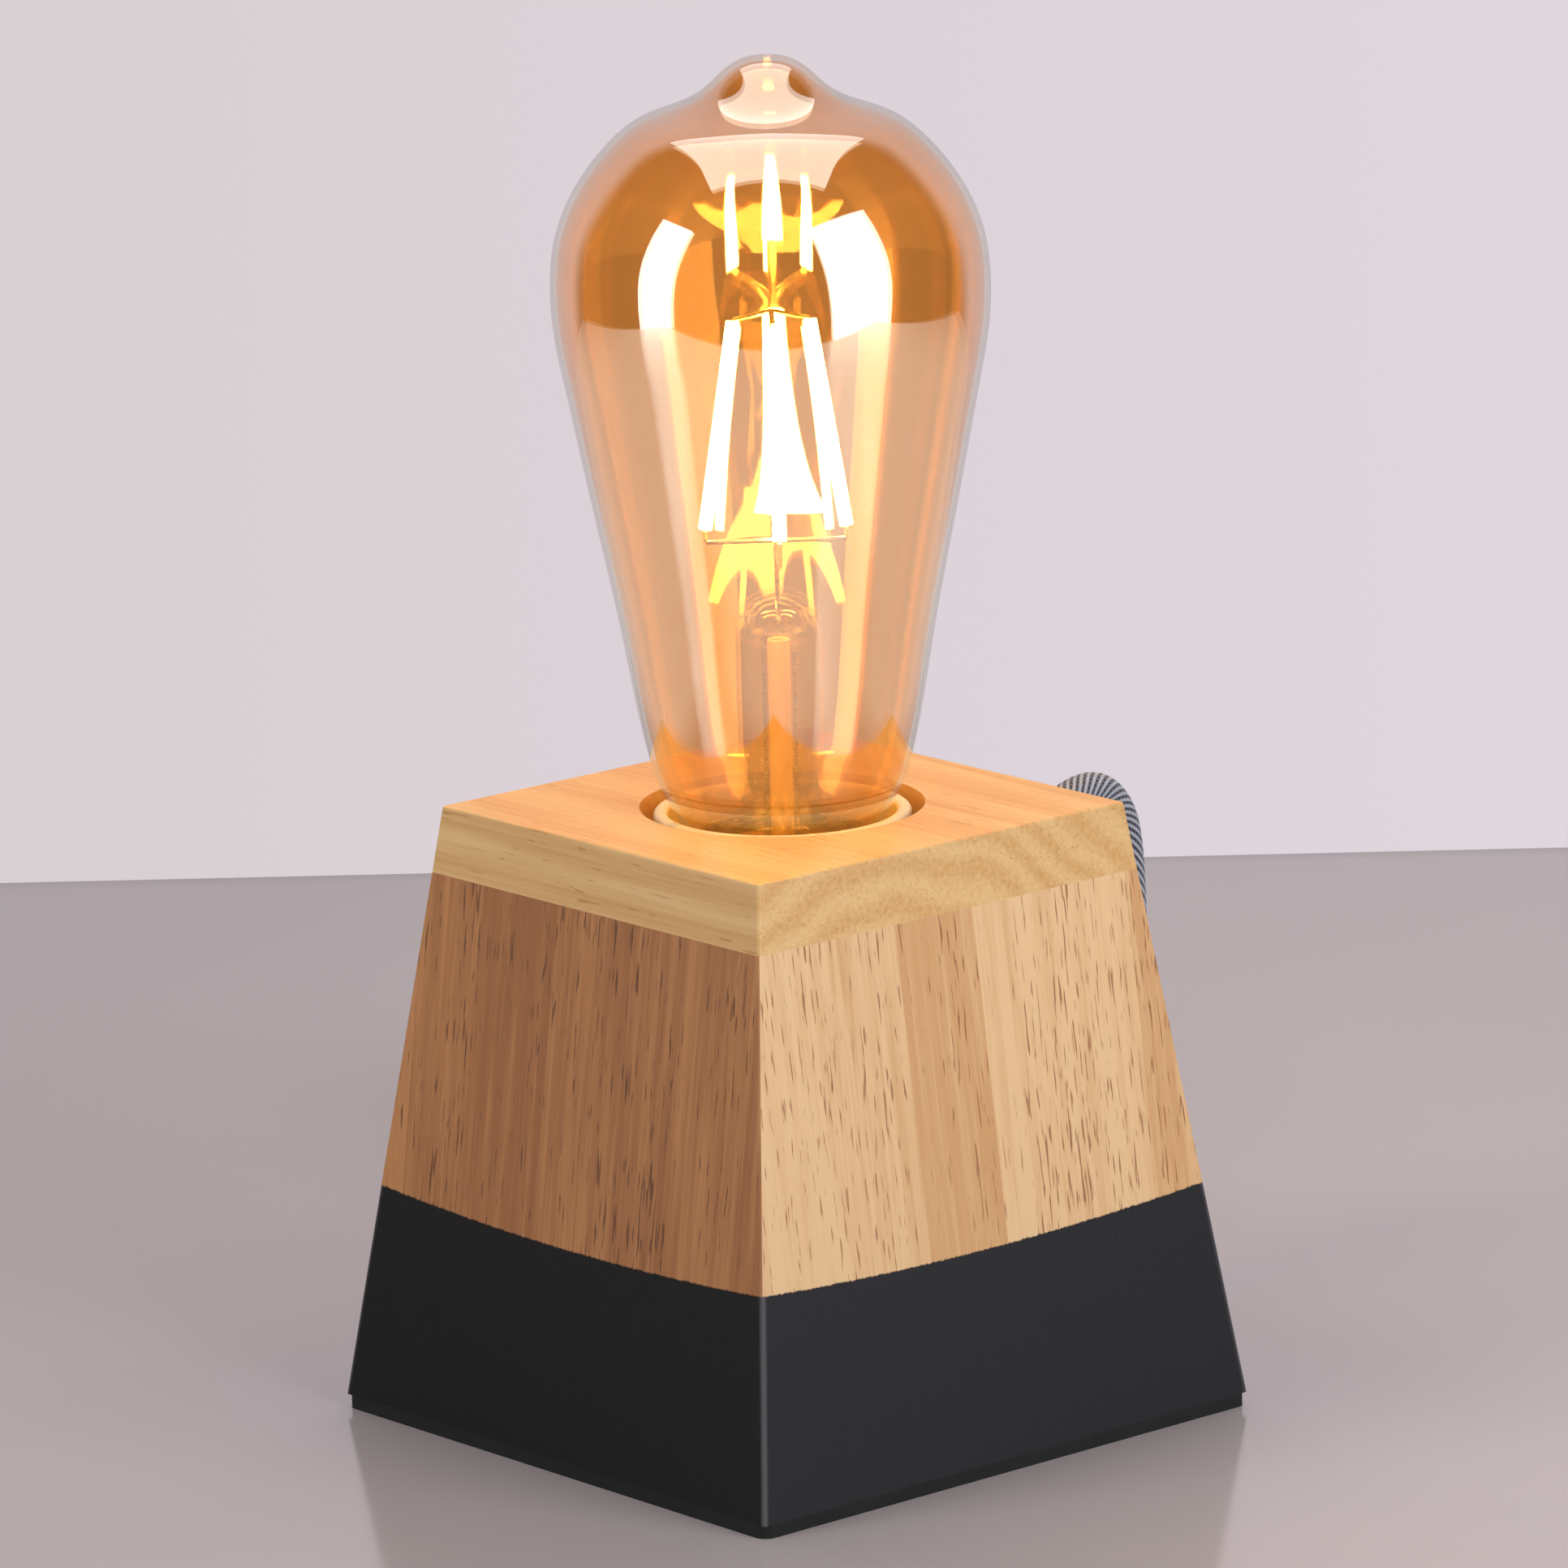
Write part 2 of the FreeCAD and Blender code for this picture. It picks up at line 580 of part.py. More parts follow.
def wood_pieces():
    """A cap and four mitred boards round a hollow."""
    wide = FOOT_SIDE
    body = frustum(WOOD_Z, TOP_Z)
    eased = [e for e in body.Edges if max(v.Z for v in e.Vertexes) > TOP_Z - EDGE_ROUND]
    body = body.makeFillet(EDGE_ROUND, eased)
    cap = body.common(box((-wide, -wide, CAP_Z), (wide, wide, TOP_Z + 1)))
    cap = cap.cut(rod(CAP_BORE / 2, CAP_Z - 1, TOP_Z + 1))
    hole_top = CAP_Z + EAR_SCREW_BITE + SCREW_SLACK
    for x, y in ear_screw_places():
        cap = cap.cut(rod(EAR_SCREW_D / 2 + SCREW_SLACK, CAP_Z - 1, hole_top, x, y))
    wall = body.common(box((-wide, -wide, WOOD_Z), (wide, wide, CAP_Z)))
    wall = wall.cut(frustum(WOOD_Z - 1, CAP_Z + 1, BOARD_THICKNESS))
    sides = {
        "front_board": ((-wide, -wide), (wide, -wide)),
        "right_board": ((wide, -wide), (wide, wide)),
        "rear_board": ((wide, wide), (-wide, wide)),
        "left_board": ((-wide, wide), (-wide, -wide)),
    }
    pieces = {"top_cap": cap}
    for name, corners in sides.items():
        pieces[name] = wall.common(prism([(0, 0), *corners], WOOD_Z - 1, CAP_Z + 1))
    hole = at_exit(rod(BUSHING_R + BUSHING_GAP, -2 * BOARD_THICKNESS, BOARD_THICKNESS))
    pieces["rear_board"] = pieces["rear_board"].cut(hole)
    return pieces


def floor_screw_places():
    """Where the floor board's four screws stand."""
    reach = hollow_half(GLUE_BLOCK_Z) - FLOOR_SCREW_INSET
    return [(x * reach, y * reach) for x in (-1, 1) for y in (-1, 1)]


def floor_screw(x, y, slack=0.0):
    """A countersunk wood screw with its head in the floor board's underside."""
    shank = FLOOR_SCREW_D / 2 + slack
    head = FLOOR_SCREW_HEAD_D / 2 + slack
    low = WOOD_Z + SCREW_SLACK - slack
    end = FLOOR_TOP_Z + FLOOR_SCREW_BITE + slack
    neck = low + head - shank
    shape = turned([(0, low), (head, low), (shank, neck), (shank, end - shank), (0, end)])
    shape.translate(Vector(x, y, 0))
    return shape


def floor_pieces():
    """Foot pad, floor board, glue blocks, and the screws that hold the board to the blocks."""
    half = FOOT_SIDE / 2
    pad = box((-half, -half, 0), (half, half, PAD_THICKNESS))
    upright = [e for e in pad.Edges if abs(e.Vertexes[0].Z - e.Vertexes[1].Z) > PAD_THICKNESS / 2]
    pad = pad.makeFillet(PAD_CORNER, upright)
    inset = BOARD_THICKNESS + GLUE_GAP
    board = frustum(WOOD_Z, FLOOR_TOP_Z, inset)
    corner_room = frustum(FLOOR_TOP_Z, GLUE_BLOCK_Z, inset)
    line = 2 * hollow_half(GLUE_BLOCK_Z) - GLUE_BLOCK_LEG
    far = FOOT_SIDE
    blocks = []
    screws = []
    for x, y in floor_screw_places():
        side_x, side_y = math.copysign(1, x), math.copysign(1, y)
        corner = ((line - far, far), (far, line - far), (far, far))
        wedge = prism([(side_x * a, side_y * b) for a, b in corner], FLOOR_TOP_Z, GLUE_BLOCK_Z)
        hole = floor_screw(x, y, SCREW_SLACK)
        blocks.append(corner_room.common(wedge).cut(hole))
        board = board.cut(hole)
        screws.append(floor_screw(x, y).cut(driver_slot(x, y, WOOD_Z, FLOOR_SCREW_HEAD_D)))
    return {
        "foot_pad": pad,
        "bottom_board": board,
        "corner_blocks": Part.makeCompound(blocks),
        "bottom_screws": Part.makeCompound(screws),
    }


def driver_slot(x, y, low, head_d):
    """A cross recess for the head of a screw that is driven from below."""
    half, thin, deep = head_d * CROSS_SPAN / 2, head_d * CROSS_WIDTH / 2, head_d * CROSS_DEPTH
    cross = box((-half, -thin, low - 1), (half, thin, low + deep))
    cross = cross.fuse(box((-thin, -half, low - 1), (thin, half, low + deep)))
    cross.translate(Vector(x, y, 0))
    return cross


# ---------------------------------------------------------------- bracket and threaded stem


def bracket_pieces():
    """The steel bracket under the cap, its screws, and the threaded stem with washer and nut."""
    low = BRACKET_Z - STEEL
    plate = box((-LEG_REACH, -LEG_WIDTH / 2, low), (LEG_REACH, LEG_WIDTH / 2, BRACKET_Z))
    bracket = plate
    for side in (-1, 1):
        leg = box((LEG_REACH - STEEL, -LEG_WIDTH / 2, low), (LEG_REACH, LEG_WIDTH / 2, CAP_Z))
        ear = box((LEG_REACH - STEEL, -EAR_WIDTH / 2, CAP_Z - STEEL), (EAR_REACH, EAR_WIDTH / 2, CAP_Z))
        ear = ear.fuse(rod(EAR_WIDTH / 2, CAP_Z - STEEL, CAP_Z, EAR_REACH))
        ear = ear.cut(rod(EAR_SCREW_D / 2 + SCREW_SLACK, low, CAP_Z + 1, EAR_REACH))
        half = leg.fuse(ear)
        bracket = bracket.fuse(half if side > 0 else mirrored(half))
    bracket = bracket.cut(rod(STEM_D / 2 + HOLDER_GAP, low - 1, BRACKET_Z + 1)).removeSplitter()
    bracket.rotate(Vector(0, 0, 0), Vector(0, 0, 1), 45)
    screws = []
    for x, y in ear_screw_places():
        under = CAP_Z - STEEL
        head = rod(EAR_SCREW_HEAD_R, under - EAR_SCREW_HEAD, under, x, y)
        head = head.cut(driver_slot(x, y, under - EAR_SCREW_HEAD, 2 * EAR_SCREW_HEAD_R))
        screws.append(head.fuse(rod(EAR_SCREW_D / 2, under, CAP_Z + EAR_SCREW_BITE, x, y)))
    washer_z = low - WASHER_THICKNESS
    washer = ring(WASHER_R, STEM_D / 2 + HOLDER_GAP, washer_z, low)
    deep, half = WASHER_NOTCH[0], WASHER_NOTCH[1] / 2
    for i in range(WASHER_TEETH):
        notch = box((WASHER_R - deep, -half, washer_z - 1), (WASHER_R + 1, half, low + 1))
        notch.rotate(Vector(0, 0, 0), Vector(0, 0, 1), 360 * i / WASHER_TEETH)
        washer = washer.cut(notch)
    corner = NUT_FLATS / math.sqrt(3)
    sixths = [math.radians(60 * i) for i in range(6)]
    outline = [(corner * math.cos(a), corner * math.sin(a)) for a in sixths]
    nut = prism(outline, washer_z - NUT_HEIGHT, washer_z)
    nut = nut.cut(rod(STEM_D / 2 + SCREW_SLACK, STEM_Z, BRACKET_Z))
    return {
        "holder_bracket": bracket,
        "bracket_screws": Part.makeCompound(screws),
        "holder_nipple": ring(STEM_D / 2, STEM_BORE / 2, STEM_Z, STEM_TOP_Z),
        "toothed_washer": washer,
        "lock_nut": nut,
    }


# ---------------------------------------------------------------- lampholder


def holder_pieces():
    """The holder's two-part casing, its insert, its threaded shell and its contacts."""
    foot, crown = (DOME_FOOT_R, DOME_Z), (COLLAR_R, DOME_Z + DOME_ROUND)
    inner_r = INSERT_R - LEDGE_WIDTH
    bore = STEM_D / 2 + SCREW_SLACK
    inner_foot, inner_crown = (BOSS_R, DOME_Z + DOME_FLOOR), (inner_r, DOME_Z + DOME_ROUND)
    dome = turned([
        foot, bulge(foot, crown), crown,
        (COLLAR_R, COLLAR_Z - HOLDER_GAP), (SPIGOT_R, COLLAR_Z - HOLDER_GAP),
        (SPIGOT_R, SPIGOT_Z), (SPIGOT_R - SPIGOT_WALL, SPIGOT_Z),
        (SPIGOT_R - SPIGOT_WALL, INSERT_Z), (inner_r, INSERT_Z),
        inner_crown, bulge(inner_foot, inner_crown), inner_foot,
        (BOSS_R, DOME_Z + BOSS_HEIGHT), (bore, DOME_Z + BOSS_HEIGHT), (bore, DOME_Z),
    ])
    bead = COLLAR_ROUND
    collar_in = COLLAR_R - COLLAR_WALL
    collar = turned([
        (COLLAR_R, COLLAR_Z), (COLLAR_R, RIM_Z - bead),
        bulge((COLLAR_R - bead, RIM_Z), (COLLAR_R, RIM_Z - bead)), (COLLAR_R - bead, RIM_Z),
        (collar_in + bead, RIM_Z),
        bulge((collar_in + bead, RIM_Z), (collar_in, RIM_Z - bead)), (collar_in, RIM_Z - bead),
        (collar_in, COLLAR_Z),
    ])
    insert = rod(INSERT_R, INSERT_Z, INSERT_TOP_Z)
    half_x, half_y = TERMINAL_SIZE.x / 2, TERMINAL_SIZE.y / 2
    room_x, room_y = half_x + HOLDER_GAP, half_y + HOLDER_GAP
    room_top = TERMINAL_TOP_Z + STRIP_THICKNESS + HOLDER_GAP
    blocks = []
    screws = []
    for side in (-1, 1):
        x = side * TERMINAL_X
        insert = insert.cut(box((x - room_x, -room_y, INSERT_Z - 1), (x + room_x, room_y, room_top)))
        block = box((x - half_x, -half_y, TERMINAL_Z), (x + half_x, half_y, TERMINAL_TOP_Z))
        inner, outer = Vector(0, 0, WIRE_Z), Vector(x + 2 * side * half_x, 0, WIRE_Z)
        block = block.cut(rod_between(WIRE_D / 2 + WIRE_SLACK, inner, outer))
        block = block.cut(rod(TERMINAL_SCREW_R + SCREW_SLACK, TERMINAL_Z - 1, WIRE_Z, x))
        blocks.append(block)
        head_z = TERMINAL_Z - TERMINAL_HEAD
        screw = rod(TERMINAL_HEAD_R, head_z, TERMINAL_Z, x)
        screw = screw.cut(driver_slot(x, 0, head_z, 2 * TERMINAL_HEAD_R))
        screws.append(screw.fuse(rod(TERMINAL_SCREW_R, TERMINAL_Z, WIRE_Z - WIRE_D / 2 - SCREW_SLACK, x)))
    contacts = contact_strips()
    for x in (contacts["centre_x"], contacts["side_x"]):
        half_y = STRIP_WIDTH / 2 + HOLDER_GAP
        low_x, high_x = x - HOLDER_GAP, x + STRIP_THICKNESS + HOLDER_GAP
        insert = insert.cut(box((low_x, -half_y, INSERT_Z), (high_x, half_y, INSERT_TOP_Z + 1)))
    shell_top = SKIRT_Z - SHELL_DROP
    shell_r = BULB_THREAD_R + THREAD_SLACK
    shell = screw_thread(shell_r + SHELL_WALL, INSERT_TOP_Z, shell_top)
    shell = shell.cut(screw_thread(shell_r, INSERT_TOP_Z + SHELL_WALL, shell_top + 1))
    shell = shell.cut(rod(SHELL_HOLE_R, INSERT_TOP_Z - 1, INSERT_TOP_Z + 1))
    return {
        "holder_dome": dome,
        "holder_collar": collar,
        "holder_insert": insert,
        "thread_shell": shell,
        "centre_contact": contacts["centre"],
        "side_contact": contacts["side"],
        "terminal_blocks": Part.makeCompound(blocks),
        "terminal_screws": Part.makeCompound(screws),
    }


def contact_strips():
    """The sprung tongue below the bulb's tip, and the strip to the threaded shell."""
    thick = STRIP_THICKNESS
    low, floor = TERMINAL_TOP_Z, INSERT_TOP_Z
    tongue = floor + TONGUE_RISE
    left = -SHELL_HOLE_R + STRIP_FROM_EDGE
    heel, knee, toe = left + TONGUE_HEEL, TONGUE_KNEE_X, TONGUE_TOE_X
    centre = side_prism([
        (left, low), (left + thick, low), (left + thick, floor), (heel, floor), (knee, tongue), (toe, tongue),
        (toe, tongue + thick), (knee - thick / 2, tongue + thick), (heel - thick / 2, floor + thick),
        (left, floor + thick),
    ], STRIP_WIDTH / 2)
    right = SHELL_HOLE_R + STRIP_FROM_EDGE
    end = right - SIDE_STRIP_FOOT
    side = side_prism([
        (end, low), (right + thick, low), (right + thick, floor), (right, floor),
        (right, low + thick), (end, low + thick),
    ], STRIP_WIDTH / 2)
    return {"centre": centre, "side": side, "centre_x": left, "side_x": right}


def wire_pieces():
    """Two insulated wires from the cord's inner end, under the bracket and up the stem to the terminals."""
    start = exit_place().multVec(Vector(0, 0, -bushing_depth() - BUSHING_GAP))
    inside = TERMINAL_X + TERMINAL_SIZE.x / 4
    pieces = {}
    for name, side in (("wire_live", 1), ("wire_neutral", -1)):
        first = (WIRE_BEND[0][0], start.y, start.z)
        route = [first, *WIRE_BEND, (WIRE_TO_SIDE, 0.0, WIRE_Z), (inside, 0.0, WIRE_Z)]
        pieces[name] = tube(name, [(side * x, y, z) for x, y, z in route], WIRE_D)
    return pieces


# ---------------------------------------------------------------- bulb


def glass_skin(inset):
    """The bulb's body of turned glass, its outline set in by a distance."""
    def inward(points):
        moved = []
        for i, point in enumerate(points):
            way = points[min(i + 1, len(points) - 1)] - points[max(i - 1, 0)]
            moved.append(point + Vector(-way.z, 0, way.x).normalize() * inset)
        return moved

    neck = [Vector(GLASS_FOOT_R, 0, SKIRT_TOP_Z)] + [Vector(r, 0, TOP_Z + z) for z, r in GLASS_NECK]
    crown = [Vector(r, 0, TOP_Z + z) for z, r in GLASS_CROWN]
    top = Vector(0, 0, TOP_Z + BULB_ABOVE)
    cone_way = crown[0] - neck[-1]
    neck, crown = inward(neck), inward(crown)
    top = top - Vector(0, 0, inset)
    foot_r = GLASS_FOOT_R - inset
    neck[0] = Vector(foot_r, 0, SKIRT_TOP_Z)
    lower, upper = Part.BSplineCurve(), Part.BSplineCurve()
    lower.interpolate(Points=neck, InitialTangent=Vector(GLASS_FOOT_LEAN, 0, 1), FinalTangent=cone_way)
    upper.interpolate(Points=crown + [top], InitialTangent=cone_way, FinalTangent=Vector(-1, 0, 0))
    foot = Vector(foot_r, 0, GLASS_FOOT_Z)
    axis = Vector(0, 0, GLASS_FOOT_Z)
    edges = [
        Part.makeLine(axis, foot), Part.makeLine(foot, neck[0]), lower.toShape(),
        Part.makeLine(neck[-1], crown[0]), upper.toShape(), Part.makeLine(top, axis),
    ]
    return Part.Face(Part.Wire(edges)).revolve(Vector(0, 0, 0), Vector(0, 0, 1), 360)


def glass_stem():
    """The re-entrant glass stem: a tube with a domed top, flared out to the bulb's neck."""
    top = TOP_Z + GLASS_STEM_TOP
    flare = TOP_Z + GLASS_STEM_FLARE
    foot_r = GLASS_FOOT_R - GLASS_WALL - GLASS_SLACK
    foot = GLASS_FOOT_Z + GLASS_WALL
    skins = []
    for inset in (0.0, GLASS_STEM_WALL):
        brim = (foot_r - inset, foot + GLASS_STEM_WALL)
        throat = (GLASS_STEM_R - inset, flare)
        shoulder = (throat[0], top - GLASS_STEM_R)
        peak = (0.0, top - inset)
        low = foot - inset
        skins.append(turned([
            (0.0, low), (brim[0], low), brim, bulge(brim, throat), throat,
            shoulder, bulge(peak, shoulder), peak,
        ]))
    return skins[0].cut(skins[1])


def stick_ends(index):
    """The lower and upper end of a luminous stick."""
    angle = math.radians(STICK_AZIMUTH + 360 / STICK_COUNT * index)
    ends = []
    for height, radius in (STICK_LOW, STICK_HIGH):
        ends.append(Vector(radius * math.cos(angle), radius * math.sin(angle), TOP_Z + height))
    return ends


def filament_pieces():
    """The luminous sticks and the wires that carry them."""
    top = TOP_Z + GLASS_STEM_TOP
    hub = Vector(0, 0, TOP_Z + STICK_HIGH[0] + HUB_RISE)
    ends = [stick_ends(i) for i in range(STICK_COUNT)]
    sticks = [rod_between(STICK_R, low, high) for low, high in ends]
    wires = rod_between(SUPPORT_R, Vector(0, 0, top + SUPPORT_GAP), hub)
    for low, high in ends:
        wires = wires.fuse(rod_between(SUPPORT_R, high + (high - low).normalize() * SUPPORT_R, hub))
    for pair, drop in enumerate(CROSS_DROPS):
        level = TOP_Z + STICK_LOW[0] - drop
        tips = []
        for low, high in ends[pair::2]:
            tip = Vector(low.x, low.y, level)
            below = low - (high - low).normalize() * SUPPORT_R
            wires = wires.fuse(rod_between(SUPPORT_R, tip, below))
            tips.append(tip)
        wires = wires.fuse(rod_between(SUPPORT_R, tips[0], tips[-1]))
    return {"filament_sticks": Part.makeCompound(sticks), "support_wires": wires}


def bulb_pieces():
    """The bulb, from its tip contact up. The tip is a disc that a turn leaves as it is."""
    disc_r = BULB_THREAD_R - TIN - THREAD_DEPTH / 2 - DISC_GAP
    tip_top = TIP_Z + TIP_HEIGHT
    across, up = TIP_BEVEL
    tip = turned([(0, TIP_Z), (TIP_R - across, TIP_Z), (TIP_R, TIP_Z + up), (TIP_R, tip_top), (0, tip_top)])
    floor = BULB_THREAD_Z + TIN
    neck_r = SHELL_FLOOR_R - GLASS_SLACK
    insulator = turned([
        (0, INSULATOR_Z), (TIP_R + INSULATOR_BRIM, INSULATOR_Z), (neck_r, BULB_THREAD_Z), (neck_r, floor),
        (disc_r, floor), (disc_r, floor + INSULATOR_DISC), (0, floor + INSULATOR_DISC),
    ])
    shell = screw_thread(BULB_THREAD_R, BULB_THREAD_Z, SKIRT_Z)
    shell = shell.cut(screw_thread(BULB_THREAD_R - TIN, floor, SKIRT_Z + 1))
    shell = shell.cut(rod(SHELL_FLOOR_R, BULB_THREAD_Z - 1, floor + TIN))
    inner = BULB_THREAD_R - THREAD_DEPTH
    skirt = ring(SKIRT_R, inner, SKIRT_Z, SKIRT_Z + TIN)
    skirt = skirt.fuse(ring(SKIRT_R, SKIRT_R - TIN, SKIRT_Z, SKIRT_TOP_Z))
    top = TOP_Z + GLASS_STEM_TOP
    size = DRIVER_SIZE
    driver_z = floor + DRIVER_LIFT
    driver = box((-size.x / 2, -size.y / 2, driver_z), (size.x / 2, size.y / 2, driver_z + size.z))
    lead_top = top - GLASS_STEM_R
    leads = [rod(LEAD_WIRE_R, driver_z + size.z, lead_top, x) for x in (-LEAD_WIRE_X, LEAD_WIRE_X)]
    exhaust = ring(EXHAUST_R, EXHAUST_R - EXHAUST_WALL, SKIRT_TOP_Z, lead_top)
    pieces = {
        "bulb_tip_contact": tip,
        "bulb_cap_insulator": insulator,
        "bulb_cap_shell": shell.fuse(skirt),
        "bulb_glass": glass_skin(0.0).cut(glass_skin(GLASS_WALL)),
        "glass_stem": glass_stem(),
        "exhaust_tube": exhaust,
        "lead_wires": Part.makeCompound(leads),
        "led_driver": driver,
    }
    pieces.update(filament_pieces())
    return pieces


# ---------------------------------------------------------------- cord and what is on it


def bushing_depth():
    """Length of the bushing inside the rear face."""
    return BOARD_THICKNESS * math.cos(math.atan(SLOPE)) + BUSHING_TAIL


def cord_pieces():
    """The bushing, the cord's four lengths and the tie round its coil."""
    deep = bushing_depth()
    nose_r = BUSHING_R - BUSHING_WALL / 3
    bushing = turned([
        (BUSHING_R, -deep), (BUSHING_R, 0), (BUSHING_FLANGE_R, 0), (BUSHING_FLANGE_R, BUSHING_FLANGE),
        (BUSHING_R + BUSHING_WALL, BUSHING_FLANGE), (nose_r, BUSHING_NOSE),
        (CORD_R + BUSHING_GAP, BUSHING_NOSE), (CORD_R + BUSHING_GAP, -deep),
    ])
    coil = Coil()
    path = coil.path()
    wound = swept(path, CORD_D)
    print(f"cord_coil: {path.Length:.1f} long, least gap between turns {coil.least_gap():.2f}, volume over"
          f" section times length {wound.Volume / (math.pi * CORD_R ** 2 * path.Length):.4f}")
    return {
        "cord_bushing": at_exit(bushing),
        "cord_inner": at_exit(rod(CORD_R, -deep, BUSHING_NOSE)),
        "cord_run": tube("cord_run", RUN_POINTS, CORD_D),
        "cord_lead": tube("cord_lead", lead_points(), CORD_D),
        "cord_coil": wound,
        "cord_tail": tube("cord_tail", [coil.exit(), coil.beyond(TAIL_FIRST_RUN), *TAIL_POINTS], CORD_D),
        "cord_tie": tie_band(coil),
    }


def tie_band(coil):
    """A flat band round the bundle of turns."""
    passes = coil.passes(TIE_ANGLE)
    reach = CORD_R + TIE_GAP
    low = (min(r for r, _ in passes) - reach, min(z for _, z in passes) - reach)
    high = (max(r for r, _ in passes) + reach, max(z for _, z in passes) + reach)
    bands = []
    for grow in (TIE_THICKNESS, 0.0):
        half = TIE_WIDTH / 2 + (0 if grow else 1)
        band = box((low[0] - grow, -half, low[1] - grow), (high[0] + grow, half, high[1] + grow))
        along = [e for e in band.Edges if abs(e.Vertexes[0].Y - e.Vertexes[1].Y) > half]
        bands.append(band.makeFillet(TIE_ROUND + grow, along))
    band = bands[0].cut(bands[1])
    band.rotate(Vector(0, 0, 0), Vector(0, 0, 1), TIE_ANGLE)
    band.translate(Vector(coil.centre.x, coil.centre.y, 0))
    return band


def at_switch(shape):
    """A shape drawn on the origin along +X, put where the switch lies on the cord."""
    heading = run_heading()
    middle = Vector(*RUN_POINTS[-1]) + heading * (SWITCH_LENGTH / 2)
    turn = Rotation(Vector(1, 0, 0), heading)
    shape.Placement = Placement(Vector(middle.x, middle.y, 0), turn).multiply(shape.Placement)
    return shape


def switch_screw(x, y, slack=0.0):
    """A small countersunk screw, driven from below."""
    shank, head = SWITCH_SCREW_R + slack, SWITCH_SCREW_HEAD_R + slack
    low = -1.0 if slack else SWITCH_SCREW_SINK
    rim = SWITCH_SCREW_SINK + SCREW_SLACK
    neck = rim + head - shank
    high = SWITCH_HEIGHT - SWITCH_WALL - SWITCH_SCREW_SHORT + slack
    shape = turned([(0, low), (head, low), (head, rim), (shank, neck), (shank, high), (0, high)])
    shape.translate(Vector(x, y, 0))
    return shape


def switch_pieces():
    """The switch on the cord: two shells, a rocker on its pivot, contacts and screws."""
    half, wide, end = SWITCH_LENGTH / 2, SWITCH_WIDTH / 2, SWITCH_END_WIDTH / 2
    shoulder = half - SWITCH_TAPER
    corner = [(half, -end), (half, end), (shoulder, wide)]
    outline = corner + [(-x, y) for x, y in reversed(corner)]
    outline += [(-shoulder, -wide), (shoulder, -wide)]
    body = eased_prism(outline, 0, SWITCH_HEIGHT, SWITCH_CORNER, SWITCH_ROUND)
    inner_top = SWITCH_HEIGHT - SWITCH_WALL
    hollow_x, hollow_y = shoulder, wide - SWITCH_WALL
    hollow = box((-hollow_x, -hollow_y, SWITCH_WALL), (hollow_x, hollow_y, inner_top))
    boss = (hollow_x - SWITCH_BOSS_INSET[0], hollow_y - SWITCH_BOSS_INSET[1])
    places = [(boss[0], -boss[1]), (-boss[0], boss[1])]
    for x, y in places:
        hollow = hollow.cut(rod(SWITCH_BOSS_R, 0, SWITCH_HEIGHT, x, y))
    body = body.cut(hollow)
    opening_x, opening_y = ROCKER_LENGTH / 2 + ROCKER_GAP, ROCKER_WIDTH / 2 + ROCKER_GAP
    cut_z = SWITCH_HEIGHT / 2
    base = body.common(box((-half, -wide, 0), (half, wide, cut_z)))
    cover = body.common(box((-half, -wide, cut_z), (half, wide, SWITCH_HEIGHT)))
    opening = box((-opening_x, -opening_y, inner_top - 1), (opening_x, opening_y, SWITCH_HEIGHT + 1))
    cover = cover.cut(opening)
    lug_in = opening_y + PIVOT_SLACK
    lug_out = lug_in + LUG_THICKNESS
    for side in (-1, 1):
        near, far = sorted((side * lug_in, side * lug_out))
        lug = box((-LUG_HALF, near, PIVOT_Z - LUG_HALF), (LUG_HALF, far, inner_top + SWITCH_WALL / 2))
        cover = cover.fuse(lug)
    ends = [Vector(0, side * (lug_out + PIVOT_SHORT), PIVOT_Z) for side in (-1, 1)]
    cover = cover.cut(rod_between(PIVOT_R + PIVOT_SLACK, *ends)).removeSplitter()
    for x, y in places:
        hole = switch_screw(x, y, SCREW_SLACK)
        base, cover = base.cut(hole), cover.cut(hole)
    screws = []
    for x, y in places:
        slot = driver_slot(x, y, SWITCH_SCREW_SINK, 2 * SWITCH_SCREW_HEAD_R)
        screws.append(switch_screw(x, y).cut(slot))
    return {
        "switch_base": at_switch(base),
        "switch_cover": at_switch(cover),
        "switch_rocker": at_switch(rocker(lug_out - PIVOT_SHORT)),
        "switch_contacts": at_switch(switch_contacts()),
        "switch_screws": at_switch(Part.makeCompound(screws)),
    }


def rocker(pin_reach):
    """The rocker: a shallow V on top, ends round its pivot, and a pivot pin through it."""
    half = ROCKER_LENGTH / 2
    low, high = PIVOT_Z - ROCKER_BELOW, PIVOT_Z + ROCKER_ABOVE
    outline = [(-half, low), (half, low), (half, high), (0, high - ROCKER_HOLLOW), (-half, high)]
    body = side_prism(outline, ROCKER_WIDTH / 2)
    side = Vector(0, ROCKER_WIDTH, 0)
    pivot = Vector(0, 0, PIVOT_Z)
    body = body.common(rod_between(half, pivot - side, pivot + side))
    reach = Vector(0, pin_reach, 0)
    body = body.fuse(rod_between(PIVOT_R, pivot - reach, pivot + reach)).removeSplitter()
    body.rotate(pivot, Vector(0, 1, 0), ROCKER_TILT)
    return body


def switch_contacts():
    """Two brass contacts on the switch's floor, under the rocker's arms."""
    width, thick = SWITCH_CONTACT_SIZE
    top = SWITCH_WALL + thick
    contacts = []
    for side in (-1, 1):
        near, far = sorted(side * x for x in SWITCH_CONTACT_X)
        plate = box((near, -width / 2, SWITCH_WALL), (far, width / 2, top))
        contacts.append(plate.fuse(rod(SWITCH_STUD_R, top, top + SWITCH_STUD_HEIGHT, side * SWITCH_STUD_X)))
    return Part.makeCompound(contacts)


